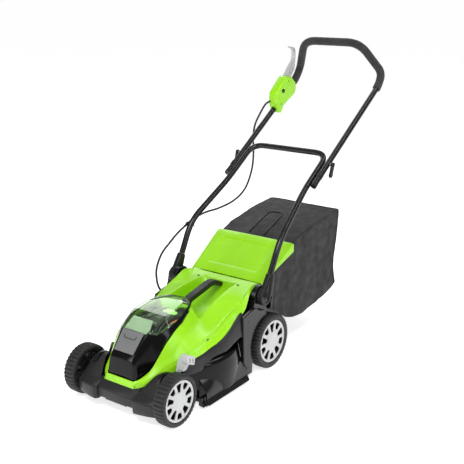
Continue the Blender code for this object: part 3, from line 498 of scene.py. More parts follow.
def grid(name, rows, closed=False, caps=False):
    """A surface through rows of points; closed rows may have caps on the first and the last."""
    width = len(rows[0])
    verts = [p for row in rows for p in row]
    faces = []
    for i in range(len(rows) - 1):
        for j in range(width if closed else width - 1):
            k = (j + 1) % width
            faces.append((i * width + j, i * width + k, (i + 1) * width + k, (i + 1) * width + j))
    if caps:
        faces += [tuple(range(width)), tuple(range(len(verts) - 1, len(verts) - width - 1, -1))]
    return mesh_object(name, verts, faces)


def crease_lines(obj, width, value, columns=(), rows=(), within=None, middle=0):
    """Creases a grid's edges down some columns or along some rows; columns count from the middle one."""
    mesh = obj.data
    layer = mesh.attributes.get("crease_edge") or mesh.attributes.new("crease_edge", "FLOAT", "EDGE")
    for edge in mesh.edges:
        (row, column), (row_b, column_b) = (divmod(i, width) for i in edge.vertices)
        column, column_b = abs(column - middle), abs(column_b - middle)
        if column == column_b and column in columns:
            wanted = within is None or row in within and row_b in within
        else:
            wanted = (row == row_b and row in rows
                      and (within is None or column in within and column_b in within))
        if wanted:
            layer.data[edge.index].value = value


SIDES = (("left", 1), ("right", -1))


def spans(side, inner, outer):
    return (inner, outer) if side > 0 else (-outer, -inner)


# ---- camera, light, floor -----------------------------------------------------
def make_camera():
    azimuth, pitch = math.radians(35.94), math.radians(16.6)
    data = bpy.data.cameras.new("camera")
    data.lens, data.sensor_width = 64.84, 36.0
    camera = in_scene("camera", data)
    camera.location = (1.5267, -2.1605, 1.1845)
    forward = Vector((-math.sin(azimuth) * math.cos(pitch), math.cos(azimuth) * math.cos(pitch),
        -math.sin(pitch)))
    camera.rotation_euler = forward.to_track_quat("-Z", "Y").to_euler()
    SCENE.camera = camera


def area_light(name, place_at, aim, size, power):
    data = bpy.data.lights.new(name, "AREA")
    data.shape, data.size, data.size_y, data.energy = "RECTANGLE", size[0], size[1], power
    lamp = in_scene(name, data)
    lamp.location = place_at
    lamp.rotation_euler = (Vector(aim) - Vector(place_at)).to_track_quat("-Z", "Y").to_euler()


def make_studio():
    world = bpy.data.worlds.new("studio")
    world.use_nodes = True
    world.node_tree.nodes["Background"].inputs["Color"].default_value = (1, 1, 1, 1)
    world.node_tree.nodes["Background"].inputs["Strength"].default_value = 0.3
    SCENE.world = world
    area_light("key", (0.6, -1.9, 2.6), (0, 0, 0.2), (1.6, 1.1), 50)
    area_light("side", (2.6, -0.2, 1.4), (0, 0, 0.25), (0.5, 1.8), 13)
    area_light("back", (-1.8, 1.6, 2.2), (0, 0.2, 0.3), (1.6, 1.6), 20)
    area_light("strip", (0.9, 0.5, 2.3), (0, 0.1, 0.3), (2.4, 0.22), 16)
    area_light("front_strip", (-1.1, -2.3, 1.0), (0, 0, 0.2), (0.2, 1.6), 7)
    SCENE.view_settings.view_transform = "Standard"
    floor = plate("floor", rounded([(-90, -90), (90, -90), (90, 90), (-90, 90)], 20.0, 8), -0.02, 0.0, "Z")
    mat = new_material("floor_paper", (0.9, 0.9, 0.9), 0.85, Emission_Color=(1, 1, 1, 1),
        Emission_Strength=0.72)
    vary_roughness(mat, noise_texture(mat, 4.0), 0.8, 0.9)
    floor.data.materials.append(mat)


# ---- wheels -------------------------------------------------------------------


OPENINGS, HOLE_STEPS, SPOKE_STEPS = 10, 6, 5
FIRST_OPEN_RING, LAST_OPEN_RING = 3, 9


def spoked_disc(name, axis_at, side, radius, inner, outer, wide, narrow, depth, wall, hub_r, face_x):
    """A disc with rounded trapezoid openings between its spokes, every second one shorter."""
    margin = (outer - inner) * 0.14
    radii = [hub_r + (inner - hub_r) * t for t in (0, 0.35, 0.7)]
    radii += [inner, inner + margin * 0.5, inner + (outer - inner) * 0.3, (inner + outer) / 2, outer - margin,
        outer - margin * 0.35, outer]
    radii += [outer + (radius - outer) * t for t in (0.4, 0.8, 1.0)]
    pitch, per = math.tau / OPENINGS, HOLE_STEPS + SPOKE_STEPS
    verts, faces = [], []
    for r in radii:
        for number in range(OPENINGS):
            middle = pitch * number + math.pi / 2
            half = narrow + (wide - narrow) * min(1, max(0, (r - inner) / (outer - inner)))
            edge = min(r - (inner if number % 2 == 0 else radii[FIRST_OPEN_RING + 2]), outer - r)
            if 0 <= edge < margin:
                half *= 0.72 + 0.28 * math.sqrt(max(0, 1 - (1 - edge / margin) ** 2))
            angles = [middle - half + 2 * half * k / HOLE_STEPS for k in range(HOLE_STEPS + 1)]
            angles += [middle + half + (pitch - 2 * half) * k / SPOKE_STEPS for k in range(1, SPOKE_STEPS)]
            verts += [(side * (face_x + depth(r, (a - middle) / pitch)), axis_at.y + r * math.cos(a),
                axis_at.z + r * math.sin(a)) for a in angles]
    around = per * OPENINGS
    for i in range(len(radii) - 1):
        for k in range(around):
            first = FIRST_OPEN_RING + 2 * (k // per % 2)
            if not (first <= i < LAST_OPEN_RING and k % per < HOLE_STEPS):
                m = (k + 1) % around
                faces.append((i * around + k, i * around + m, (i + 1) * around + m, (i + 1) * around + k))
    obj = fix_normals(mesh_object(name, verts, faces))
    with edited(obj) as bm:
        bmesh.ops.delete(bm, geom=[v for v in bm.verts if not v.link_faces], context="VERTS")
        if sum((f.normal.x * f.calc_area() for f in bm.faces)) * side < 0:
            bmesh.ops.reverse_faces(bm, faces=bm.faces)
    return soften(thicken(obj, wall), 0.0006, 2, 40)


def wheel(where, side):
    low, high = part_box(f"tyre_{where}")
    radius, face = (high.z - low.z) / 2, max(abs(low.x), abs(high.x))
    width = high.x - low.x
    cap_low, cap_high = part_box(f"hubcap_{where}")
    hub = (cap_high.z - cap_low.z) / 2
    axis_at = Vector((0, (low.y + high.y) / 2, (low.z + high.z) / 2))
    body = f"wheel_{where}"
    ribs = round(math.tau * radius / 0.0125)
    per_rib = 10
    outline = [(hub + 0.0008, face - 0.0045), (hub + 0.0016, face - 0.0012), (hub + 0.0042, face - 0.0004),
        (radius - 0.0062, face), (radius - 0.0026, face - 0.0014), (radius - 0.0007, face - 0.0044),
        (radius - 0.0001, face - 0.0095), (radius, face - width / 2 - 0.0007), (radius, face - width / 2),
        (radius, face - width / 2 - 0.0007), (radius - 0.0001, face - width + 0.0095),
        (radius - 0.0007, face - width + 0.0044), (radius - 0.0026, face - width + 0.0014),
        (radius - 0.0062, face - width), (hub + 0.0042, face - width + 0.0004),
        (hub + 0.0012, face - width + 0.0016), (hub + 0.0008, face - width + 0.005)]
    depth = metres([0, 0, 0, 1, 2.6, 3.2, 3.2, 3.2, 2.6, 3.2, 3.2, 3.2, 2.6, 1, 0, 0, 0])

    def groove(i, j):
        phase = (i + abs(j - 8) // 3) % per_rib
        return -depth[j] * (1.0 if phase in (0, 1) else 0.3 if phase in (2, per_rib - 1) else 0.0)

    tyre = turned(f"tread_{where}", outline, axis_at, "X", ribs * per_rib, side, groove)
    place(tyre, body, "rubber", [f"tyre_{where}"], shift=False, angle=50)

    def cap_depth(r, sway):
        t = r / hub
        dome = 0.004 * max(0, 1 - (t / 0.54) ** 2)
        rim = 0.0014 if t > 0.93 else 0.0014 * max(0, (t - 0.86) / 0.07) if t > 0.86 else 0.0
        return -0.0042 + dome + rim + 0.0008 * math.cos(math.tau * sway) * (1 if 0.45 < t < 0.88 else 0)

    cap = spoked_disc(f"cap_{where}", axis_at, side, hub - 0.0004, hub * 0.45, hub * 0.875,
        math.radians(12.6), math.radians(10.4), cap_depth, 0.0026, 0.0006, face)
    place(cap, body, "silver", [f"hubcap_{where}"], shift=False)
    web = spoked_disc(f"web_{where}", axis_at, side, hub - 0.004, hub * 0.44, hub * 0.86, math.radians(13.2),
        math.radians(11.0), lambda r, s: -0.009, 0.022, 0.012, face)
    rim = turned(f"rim_{where}", [(hub - 0.0002, face - 0.0068), (hub - 0.0002, face - width + 0.0025),
        (hub - 0.004, face - width + 0.0025), (hub - 0.005, face - 0.0068)], axis_at, "X", 72, side)
    boss = turned(f"boss_{where}", [(0.0135, face - 0.008), (0.013, face - width + 0.0022),
        (0.006, face - width + 0.0022), (0.006, face - 0.008)], axis_at, "X", 36, side)
    core = joined(f"core_{where}", [web, rim, boss])
    place(core, body, "black", [f"wheel_core_{where}"], shift=False)


# ---- covers -------------------------------------------------------------------
# Half-sections of the cover: y, the height on the middle plane, then (x, z) of the recess floor's edge, the
# rim beside the door or the recess wall, the panel's upper crease, its lower crease, the band under the
# groove, and the lower edge.
COVER = metres((
    (-268.5, 108.5, (26, 108.5), (41, 108.5), (50, 108.2), (54, 106), (56.5, 99), (58, 88)),
    (-245, 116, (34, 116), (56, 116), (68, 115), (79, 112), (84, 106), (86, 98.5)),
    (-215, 129, (44, 129), (72, 130), (83, 129), (90.5, 123), (97.5, 115), (100, 106)),
    (-183, 190, (52, 190), (85, 190), (96, 162), (106, 148), (111, 135), (115, 117)),
    (-155, 213, (56, 213), (89, 213), (109, 164), (124, 152), (129, 143), (131, 130)),
    (-130, 226, (56, 226), (90, 226), (105, 204), (137, 173), (142, 163), (144, 144)),
    (-100, 236, (55, 236), (87, 237), (103.5, 210.5), (142, 177), (149, 166), (151.5, 145)),
    (-50, 250, (52, 250), (76, 254), (95.5, 215.5), (140.5, 184.5), (148, 173.5), (157, 152)),
    (-15, 250, (46, 252), (60, 256), (88.5, 220.5), (140, 196), (148, 185), (160, 157)),
    (-5, 248, (34, 246), (64, 208), (87, 223.5), (140, 199.5), (148, 188.5), (161.5, 160)),
    (15, 242, (22, 230), (68, 188), (84.5, 231), (140, 207), (148, 197), (164, 168)),
    (45, 212, (28, 200), (70, 188), (81, 243), (140, 219), (148, 209), (165, 185)),
    (86, 186, (44, 186), (69, 193), (76.5, 254), (138, 232), (148, 223), (165.5, 216)),
    (120, 190, (46, 192), (65, 206), (73.5, 261), (136, 242), (147, 235), (165, 225)),
    (156, 206, (46, 210), (60, 224), (69.5, 264), (128, 254), (139, 261), (149, 254)),
    (185, 224, (46, 230), (58, 242), (68, 266), (123, 259), (136, 279), (142, 269)),
    (202, 240, (46, 244), (57, 252), (68, 266.5), (122, 262), (135, 278), (141, 270)),
    (210, 263, (46, 263.5), (57, 265), (68, 267), (121, 266), (134, 276), (141, 269)),
    (237.5, 270, (46, 270), (57, 270.2), (68, 270.2), (120, 270.5), (132, 270), (139.5, 264)),
))
# creases along the cover, by point number: floor edge, rim, panel's two creases, groove, band
COVER_CREASE = {1: 0.4, 2: 0.55, 3: 0.92, 4: 0.92, 5: 0.75, 6: 0.85}
RECESS_ROWS = (9, 10, 18)       # rows of the surface, whose row 0 is the chin

# Half-sections of the battery door: y, x and z of its top edge, then where the window ends, then its rim.
DOOR = metres((
    (-266, 40, 113, 45, 112, 48.5, 111),
    (-260, 40, 163, 45, 156, 54, 112.5),
    (-252, 41, 176, 47, 166, 59, 117),
    (-215, 46.5, 218, 57, 195, 73, 132),
    (-204, 48, 229, 60.5, 211, 77, 148),
    (-183, 56, 240, 70, 226, 85, 194),
    (-155, 60, 254, 78, 233, 89, 215),
    (-135, 63, 264, 81, 239, 89, 223),
    (-90, 60, 272, 79, 250, 86, 240),
    (-40, 48, 277, 65, 264, 71, 257.5),
    (-5, 36, 274, 48, 266, 53, 261),
    (20, 22, 264, 30, 260, 34, 257),
))
WINDOW_FIRST = 4
FRAME, WINDOW, CORNER = 0, 1, 2      # what a face of the door belongs to


def symmetric(half):
    """A half-section, from the middle plane outward, made whole from -X to +X."""
    return [Vector((-p[0], p[1], p[2])) for p in reversed(half[1:])] + [Vector(p) for p in half]


def cover_rows(stations):
    rows = []
    for y, z0, *rest in stations:
        upper, lower = Vector(rest[3]), Vector(rest[4])
        depth = 0.0042 * min(1, max(0.05, (y + 0.135) / 0.03), max(0.05, (0.12 - y) / 0.03))
        groove = upper.lerp(lower, 0.35) - Vector((0.55, 0.83)) * depth
        rest = [*rest[:4], tuple(groove), *rest[4:]]
        half = [(0, y, z0)] + [(x, y, z) for x, z in rest]
        rows.append(symmetric(half))
    return rows


def door_outline(margin):
    half = [(s[5] + margin, s[0]) for s in DOOR]
    half[0] = (half[0][0], half[0][1] - margin)
    half[-1] = (half[-1][0], half[-1][1] + margin)
    outline = half + [(-x, y) for x, y in reversed(half)]
    return rounded(outline, 0.012, 4)


def screw_head(name, spot, normal, radius=0.0032):
    """A recessed cross-head screw, seen as a dark cup with the head in it."""
    turn = Vector(normal).to_track_quat("Z", "Y").to_matrix().to_4x4()
    cup = turned(name, [(0.0002, -0.0009), (radius * 0.72, -0.0007), (radius * 0.8, -0.0001),
        (radius, 0.0003), (radius * 1.12, 0.0002), (radius * 1.12, -0.0016), (0.0002, -0.0016)], (0, 0, 0),
        "Z", 24)
    cup.data.transform(Matrix.Translation(spot) @ turn)
    return cup


def top_cover():
    rows = cover_rows(COVER)
    chin = [Vector((p.x * 0.96, COVER[0][0] - 0.0035, 0.0885 if abs(p.x) < 0.056 else p.z)) for p in rows[0]]
    cover = grid("cover", [chin] + rows)
    width = len(rows[0])
    middle = width // 2
    for number, value in COVER_CREASE.items():
        crease_lines(cover, width, value, columns=(number,), middle=middle)
    crease_lines(cover, width, 0.75, rows=(1,))
    crease_lines(cover, width, 0.95, rows=RECESS_ROWS, within=range(4), middle=middle)
    cover = shell(fix_up(cover), 3, 0.0028)
    cover = cut(cover, plate("door_cutter", door_outline(0.0012), 0.1, 0.32, "Z"))
    link_hole = [(-0.15, -0.172), (-0.1275, -0.172), (-0.1275, -0.105), (-0.15, -0.105)]
    cover = cut(cover, plate("link_cutter", link_hole, 0.1, 0.152, "Z"))
    place(cover, "chassis", "green", ["top_cover"], angle=28)
    screws = [screw_head(f"cover_screw_{x}", (x, 0.197, 0.2668), (0, -0.15, 1), 0.0034)
        for x in (0.079, -0.079)]
    screws += [screw_head(f"side_screw_{name}", (side * 0.1432, -0.043, 0.18), (side * 0.75, -0.1, 0.65),
        0.0034) for name, side in SIDES]
    place(joined("cover_screws", screws), "chassis", "case")


def door_row(station):
    y, x_top, z_top, x_mid, z_mid, x_rim, z_rim = station
    crown = 0.0012
    return symmetric([(0, y, z_top + crown), (x_top * 0.6, y, z_top + crown * 0.8),
        (x_top, y, z_top - 0.0012), (x_mid, y, z_mid), (x_rim, y, z_rim)])


def slant_window_corner(door):
    """The window's lower corners end on a straight line from its front edge back to its side edge."""
    front, back = DOOR[WINDOW_FIRST], DOOR[WINDOW_FIRST + 1]
    with edited(door) as bm:
        layer = bm.faces.layers.int.get("part")
        for side in (1, -1):
            start = Vector((side * front[1], front[0], front[2]))
            end = Vector((side * back[3], back[0], back[4]))
            facet = Vector((side * (front[3] - front[1]), 0, front[4] - front[2]))
            normal = (end - start).cross((end - start).cross(facet)).normalized()
            if normal.z < 0:
                normal = -normal
            faces = [f for f in bm.faces if f[layer] == CORNER and f.calc_center_median().x * side > 0]
            parts = faces + list({e for f in faces for e in f.edges}) + list({v for f in faces
                for v in f.verts})
            bmesh.ops.bisect_plane(bm, geom=parts, dist=1e-5, plane_co=start, plane_no=normal)
            for face in bm.faces:
                middle = face.calc_center_median()
                if face[layer] == CORNER and middle.x * side > 0:
                    face[layer] = WINDOW if (middle - start).dot(normal) > 0 else FRAME


def door_shell():
    """The whole door as one surface, each face tagged as frame or window."""
    rows = [door_row(s) for s in DOOR]
    width = len(rows[0])
    full = grid("door", rows)
    crease_lines(full, width, 0.85, columns=(2, 3), middle=width // 2)
    crease_lines(full, width, 0.35, rows=(1, 2))
    crease_lines(full, width, 0.85, rows=(WINDOW_FIRST, 7))
    fix_up(full)
    across = width - 1
    tag = full.data.attributes.new("part", "INT", "FACE")
    for i in range(len(full.data.polygons)):
        row, column = divmod(i, across)
        side = abs(column + 0.5 - across / 2)
        solid = row < WINDOW_FIRST or side > 3 or row == len(DOOR) - 2
        tag.data[i].value = CORNER if row == WINDOW_FIRST and 2 < side < 3 else FRAME if solid else WINDOW
    full = subdivide(full, 3)
    slant_window_corner(full)
    return full


def faces_tagged(full, name, wanted):
    made = in_scene(name, full.data.copy())
    with edited(made) as bm:
        layer = bm.faces.layers.int.get("part")
        bmesh.ops.delete(bm, geom=[f for f in bm.faces if f[layer] != wanted], context="FACES")
    return made


def battery_door():
    full = door_shell()
    frame_part, window = faces_tagged(full, "door_body", FRAME), faces_tagged(full, "door_glass", WINDOW)
    bpy.data.objects.remove(full, do_unlink=True)
    place(soften(thicken(frame_part, 0.0024), 0.0006, 2, 60), "battery_door", "gloss",
        ["door_frame"], angle=30)
    place(applied(thicken(window, 0.0019)), "battery_door", "window", ["door_window"],
        angle=28)
    nose_inlay()


def nose_inlay():
    """Inlay on the nose, up to the window, with a dark line laid on it for a pressed finger line: painted
    shade of the groove.
    """
    low, high = DOOR[2], DOOR[4]
    a = Vector((0, low[0], low[2]))
    b = Vector((0, high[0], high[2]))
    slope = (b - a).normalized()
    out = Vector((0, -slope.z, slope.y))
    total = (b - a).length

    def on_nose(x, s, lift):
        crown = 0.0012 * (1 - (x / 0.05) ** 2)
        return a + slope * s + out * (lift + crown) + Vector((x, 0, 0))

    outline = rounded([(-0.036, 0.004), (0.036, 0.004), (0.0392, total - 0.001), (-0.0392, total - 0.001)],
        0.0025)
    top = [on_nose(x, s, 0.0022) for x, s in outline]
    inner = [on_nose(x * 0.985, 0.5 * total + (s - 0.5 * total) * 0.975, 0.0028) for x, s in outline]
    under = [on_nose(x, s, -0.0006) for x, s in outline]
    count = len(outline)
    faces = [tuple(range(2 * count, 3 * count)), tuple(range(count - 1, -1, -1))]
    faces += [(base + i, base + (i + 1) % count, base + count + (i + 1) % count, base + count + i)
        for base in (0, count) for i in range(count)]
    inlay = fix_normals(mesh_object("nose_inlay", under + top + inner, faces))
    place(inlay, "battery_door", "grey", ["door_inlay"])
    # the finger line is a dark tube lying on the inlay, not cut into it: painted shade of the pressed groove
    line = [on_nose(x, s, 0.0029) for x, s in rounded([(-0.022, total - 0.016), (-0.02, total - 0.026),
        (0.02, total - 0.026), (0.022, total - 0.016)], 0.004, closed=False)]
    place(swept("inlay_groove_painted_shade", line, 0.0009, 8), "battery_door", "case")


def carry_grip():
    path = route(metres([(0, 30, 242), (0, 50, 248), (0, 80, 254.5), (0, 120, 262.5), (0, 150, 268),
        (0, 172, 266.5), (0, 190, 259), (0, 204, 252)]), 10)
    total, half = length_of(path), 0.0135

    def section(share):
        """Rounded bar with a ribbed top: narrow ends, fuller in the middle."""
        fuller = math.sin(math.pi * min(1, max(0, share))) ** 0.5
        h = 0.0078 + 0.0014 * fuller
        top = h + 0.0006 * (1 if 0.1 < share < 0.8 and int(share * total / 0.0021) % 2 else 0)
        return rounded([(top, -half), (top, half), (-h, half * 0.86), (-h, -half * 0.86)], 0.0042)

    grip = swept("grip_bar", path, section=section, up=(0, -0.3, 1))
    place(grip, "chassis", "grip", ["carry_grip"], angle=24)


# ---- deck and bumper ----------------------------------------------------------
def deck_skin():
    """Smooth bulging volute moulded over the drum, under a narrow shelf."""
    profile = rounded(metres([(160, 126.8), (172.5, 126.6), (181.5, 120.5), (185, 106), (188.8, 86),
        (190, 62), (189.3, 40), (189, 20), (187.5, 13), (183.5, 13), (183.3, 107), (180.3, 119.4),
        (172.2, 125.3), (160, 125.4)]), metres([1, 6, 10, 18, 20, 20, 10, 3, 1, 1, 2, 2, 2, 1]), 7)
    steps, start, stop = 180, -34, 214
    turns = [math.radians(start + (stop - start) * i / steps) - math.pi for i in range(steps + 1)]
    rows = [[(r * math.cos(a), r * math.sin(a), h) for r, h in profile] for a in turns]
    skin = fix_normals(grid("deck_volute", rows, closed=True, caps=True))
    place(skin, "chassis", "gloss")


def skirt_details():
    """Flat side wall that fairs the drum into a straight sloping ledge, with two steps at its front end."""
    for name, side in SIDES:
        rows = []
        for i in range(31):
            y = -0.104 + 0.202 * i / 30
            drum = math.sqrt(0.1845 ** 2 - y * y)
            flat = 0.1868 - 0.0006 * abs(y) / 0.1
            row = [(drum - 0.004, 0.094), (drum, 0.086), (drum + (flat - drum) * 0.55, 0.066), (flat, 0.044),
                (flat + 0.0002, 0.0262), (flat + 0.001, 0.0248), (0.1952, 0.009), (0.1945, 0.0072),
                (0.18, 0.0072)]
            rows.append([Vector((side * x, y, z)) for x, z in row])
        wall = fix_up(grid(f"apron_{name}", rows))
        crease_lines(wall, 9, 0.8, columns=(4, 5, 6, 7))
        parts = [shell(wall, 1, 0.0022)]
        for y in (-0.1045, 0.0975):
            parts.append(plate("apron_end", [(side * x, z) for x, z in metres(((150, 87), (152, 85),
                (185.5, 44), (186.5, 25.5), (194.5, 8.5), (150, 8.5)))], y - 0.0008, y + 0.0008, "Y"))
        for front, back, drop in ((-0.1145, -0.1055, 0.003), (-0.125, -0.116, 0.006)):
            outline = [(side * x, z) for x, z in ((0.17, 0.01), (0.17, 0.035), (0.1868 - drop, 0.035),
                (0.187 - drop, 0.025), (0.1952 - drop, 0.009), (0.194 - drop, 0.0075))]
            parts.append(soften(plate("step", outline, front, back, "Y"), 0.001, 3, 25))
        place(joined(f"side_apron_{name}", parts), "chassis", "satin", angle=30)


def cover_edge(y):
    """Half-width and height of the cover's lower edge at a station."""
    for a, b in zip(COVER, COVER[1:]):
        if a[0] <= y <= b[0]:
            t = (y - a[0]) / (b[0] - a[0])
            return a[-1][0] + (b[-1][0] - a[-1][0]) * t, a[-1][1] + (b[-1][1] - a[-1][1]) * t
    return COVER[-1][-1]


def deck_shoulders():
    """Band of the deck that carries the cover's lower edge, with a stepped foot above the volute."""
    for name, side in SIDES:
        rows = []
        for i in range(29):
            y = -0.15 + 0.0089 * i
            x, z = cover_edge(y)
            foot = 0.107 + 0.026 * min(1, max(0, (y + 0.095) / 0.05)) + 0.02 * min(1,
                max(0, (y - 0.01) / 0.06))
            inner = math.sqrt(max(0.001, 0.17 ** 2 - y * y)) - 0.01
            row = [(x - 0.005, z + 0.006), (x + 0.0002, z - 0.0016), (x + 0.0058, foot + 0.003),
                (x + 0.0052, foot - 0.001), (min(x, inner) + 0.001, foot - 0.003), (min(x, inner), 0.1215)]
            rows.append([Vector((side * u, y, v)) for u, v in row])
        band = fix_up(grid(f"deck_shoulder_{name}", rows))
        crease_lines(band, 6, 0.75, columns=(1, 2, 3))
        place(shell(band, 2, 0.0022), "chassis", "bumper", angle=34)


def front_corner(name, side):
    """Domed corner between the bumper's end and the deck, over the axle."""
    stations = metres((
        # y, inner x, outer x, height at the middle, height at the outer edge
        (-289.5, 78, 146.2, 73, 71.5),
        (-280, 78, 147, 81.5, 79),
        (-265, 77, 147.5, 95.5, 92),
        (-250, 86, 147.5, 110, 105),
        (-235, 94, 147.5, 123.5, 117),
        (-220, 101, 147.5, 132.5, 125.5),
        (-205, 107, 147.5, 135, 128),
        (-192, 112, 147, 132, 125),
        (-183, 116, 145, 124, 118),
        (-179, 118, 143, 112, 108),
    ))
    rows = []
    for y, x0, x1, z_mid, z_out in stations:
        row = [(x0, y, z_mid - 0.004), (x0 + (x1 - x0) * 0.25, y, z_mid - 0.0005),
            (x0 + (x1 - x0) * 0.6, y, z_mid), (x1 - 0.006, y, z_out), (x1, y, z_out - 0.006),
            (x1, y, z_out - 0.03)]
        rows.append([Vector((side * x, yy, z)) for x, yy, z in row])
    corner = fix_up(grid(f"front_corner_{name}", rows))
    crease_lines(corner, 6, 0.6, columns=(3, 4))
    place(shell(corner, 2, 0.0026), "chassis", "bumper", angle=40)


def bumper():
    """Set-back middle with sloped top, between two stepped ends with raked faces."""
    middle_side = rounded(metres([(-292.5, 40), (-291.5, 66), (-287, 73.5), (-270, 90.5), (-250, 90.5),
        (-250, 46), (-270, 40)]), 0.004)
    middle = soften(plate("bumper_middle", middle_side, -0.0745, 0.0745), 0.0006, 2, 50)
    place(middle, "chassis", "bumper", ["front_bumper"])
    for name, side in SIDES:
        rows = []
        for x, front, top in metres(((69, -296, 72.2), (76, -303, 74), (90, -302.2, 74), (120, -297.5, 73.6),
                (140, -292.5, 73), (147, -288, 72.2))):
            low = 0.0305 + 0.003 * (x - 0.069) / 0.078
            ring = [(front + 0.0025, low), (front, low + 0.012), (front + 0.0005, top - 0.004),
                (front + 0.0045, top), (-0.275, top + 0.012), (-0.256, top + 0.016), (-0.256, low + 0.004),
                (-0.276, low)]
            rows.append([Vector((side * x, y, z)) for y, z in rounded(ring, 0.0032, 2)])
        end = fix_normals(grid(f"bumper_end_{name}", rows, closed=True, caps=True))
        place(soften(end, 0.0012, 3, 40), "chassis", "bumper")
        front_corner(name, side)
    lip = plate("bumper_lip", rounded([(-0.2905, 0.0365), (-0.2905, 0.042), (-0.278, 0.042),
        (-0.278, 0.0365)], 0.0015, 3), -0.04, 0.04)
    place(lip, "chassis", "bumper")


# ---- rear flap ----------------------------------------------------------------
def rear_flap():
    """Sloping cover with a sunken rectangular panel, a front roll round the hinge and deep sides."""
    a, b = Vector((0, 0.2392, 0.2724)), Vector((0, 0.406, 0.3668))
    slope = (b - a).normalized()
    out = Vector((0, -slope.z, slope.y))
    total = (b - a).length
    xs = [0, 0.05, 0.096, 0.1015, 0.1065, 0.112, 0.138, 0.148, 0.1525, 0.1535]
    ss = [0.0, 0.004, 0.02, 0.037, 0.041, 0.045, 0.05, 0.09, 0.14, 0.15, 0.1545, 0.159, 0.164, total - 0.012,
        total - 0.004, total]
    rows = []
    for s in ss:
        half = []
        for x in xs:
            narrow = 1 - 0.085 * (1 - s / total)
            sunk = 0.0018 if (x <= 0.102 and 0.0405 <= s <= 0.155) else 0.0
            edge = 0.0022 * max(0, (x - 0.138) / 0.0155) ** 2
            lip = 0.0016 * max(0, (0.006 - s) / 0.006) ** 2 + 0.003 * max(0, (s - total + 0.01) / 0.01) ** 2
            crown = 0.0022 * (1 - (x / 0.15) ** 2)
            half.append(a + slope * s + out * (crown - sunk - edge - lip) + Vector((x * narrow, 0, 0)))
        rows.append(symmetric(half))
    side_low = ((0.2392, 0.264), (0.252, 0.268), (0.298, 0.2935), (0.35, 0.3135), (0.407, 0.336))
    rows_all = []
    for row, s in zip(rows, ss):
        y = (a + slope * s).y
        for (y0, z0), (y1, z1) in zip(side_low, side_low[1:]):
            if y0 <= y <= y1:
                z = z0 + (z1 - z0) * (y - y0) / (y1 - y0)
                break
        else:
            z = side_low[-1][1] if y > 0.4 else side_low[0][1]
        edge = row[-1]
        drop = [Vector((edge.x + 0.0006, edge.y, edge.z + (z - edge.z) * t)) for t in (0.12, 0.55, 1.0)]
        left = [Vector((-p.x, p.y, p.z)) for p in reversed(drop)]
        rows_all.append(left + row + drop)
    flap = fix_up(grid("flap", rows_all))
    width = len(rows_all[0])
    middle = width // 2
    crease_lines(flap, width, 0.75, columns=(3, 4), within=range(4, 11), middle=middle)
    crease_lines(flap, width, 0.75, rows=(4, 5, 9, 10), within=range(5), middle=middle)
    crease_lines(flap, width, 0.35, columns=(9,), middle=middle)
    place(shell(flap, 2, 0.0026), "rear_flap", "green", ["rear_flap"], angle=28)
    knuckles = [turned(f"knuckle_{i}", rounded([(0.0048, -0.015), (0.0048, 0.015), (0.0024, 0.015),
        (0.0024, -0.015)], 0.0006, 2), (x, 0.2405, 0.2645), "X", 24) for i,
        x in enumerate((-0.105, 0.0, 0.105))]
    place(joined("flap_knuckles", knuckles), "rear_flap", "green")


# ---- grass bag ----------------------------------------------------------------
BAG_X = 0.144
BAG_CORNERS = (0, 8, 15, 23)
BAG_RINGS = metres((
    # y, half-width and height of the top, half-width and height of the foot, pull-in of the sides
    (300, 138, 295, 138, 165, 0),
    (340, 140, 319, 140, 142, 1),
    (395, 142.5, 350, 140.5, 93, 3),
    (440, 143.5, 369, 141.5, 90, 4),
    (500, 144, 385, 142, 88.5, 6),
    (570, 144.5, 396.5, 142.5, 90, 7),
    (640, 144.5, 404, 142.5, 102, 6),
    (695, 144, 409, 141.5, 117, 4),
    (724, 143.5, 411, 140, 132, 2),
))


def bag_ring(y, top_x, top_z, foot_x, foot_z, pull, points=7):
    """One closed section of the bag: top, right side, foot, left side."""
    def side_points(sign, falling):
        made = []
        for i in range(1, points):
            t = i / points
            x = top_x + (foot_x - top_x) * t - pull * math.sin(math.pi * t)
            made.append(Vector((sign * x, y, top_z + (foot_z - top_z) * t)))
        return made if falling else list(reversed(made))

    top = [Vector((-top_x + 2 * top_x * i / 8, y, top_z + 0.0015 * math.sin(math.pi * i / 8)))
        for i in range(9)]
    foot = [Vector((foot_x - 2 * foot_x * i / 8, y, foot_z)) for i in range(9)]
    return top + side_points(1, True) + foot + side_points(-1, False)


def bag_wrinkles(p):
    """How far the slack cloth stands out at a point: soft folds, stronger near the mouth and the foot."""
    near_mouth = max(0, 1 - (p.y - 0.39) / 0.1) if p.y > 0.39 else 1
    low = max(0, (0.24 - p.z) / 0.15)
    fold = noise.noise(Vector((p.x * 9, p.y * 24, p.z * 7))) * 0.007 * (0.35 + 0.65 * near_mouth)
    drape = noise.noise(Vector((p.x * 6 + 4, p.y * 9 + p.z * 6, p.z * 4))) * 0.01 * (0.35 + 0.65 * low)
    fine = noise.noise(Vector((p.x * 30, p.y * 40, p.z * 34))) * 0.001
    return fold + drape + fine


def mark(obj, name, test):
    """A value of 1 at the points that pass the test; only points on lines between them keep it."""
    layer = obj.data.attributes.new(name, "FLOAT", "POINT")
    for i in range(len(obj.data.vertices)):
        layer.data[i].value = 1.0 if test(i) else 0.0


def seam_lines(bag):
    """Paths along the top corners and round the rear wall, read from the finished cloth."""
    def marked(name):
        layer = bag.data.attributes[name].data
        return [v.co.copy() for v in bag.data.vertices if layer[v.index].value > 0.9999]

    lines = [sorted(marked(name), key=lambda p: p.y)[1:] for name in ("seam_left", "seam_right")]
    ring = marked("seam_rear")
    middle = sum(ring, Vector()) / len(ring)
    ring.sort(key=lambda p: math.atan2(p.z - middle.z, p.x - middle.x))
    return lines + [ring + ring[:1]]


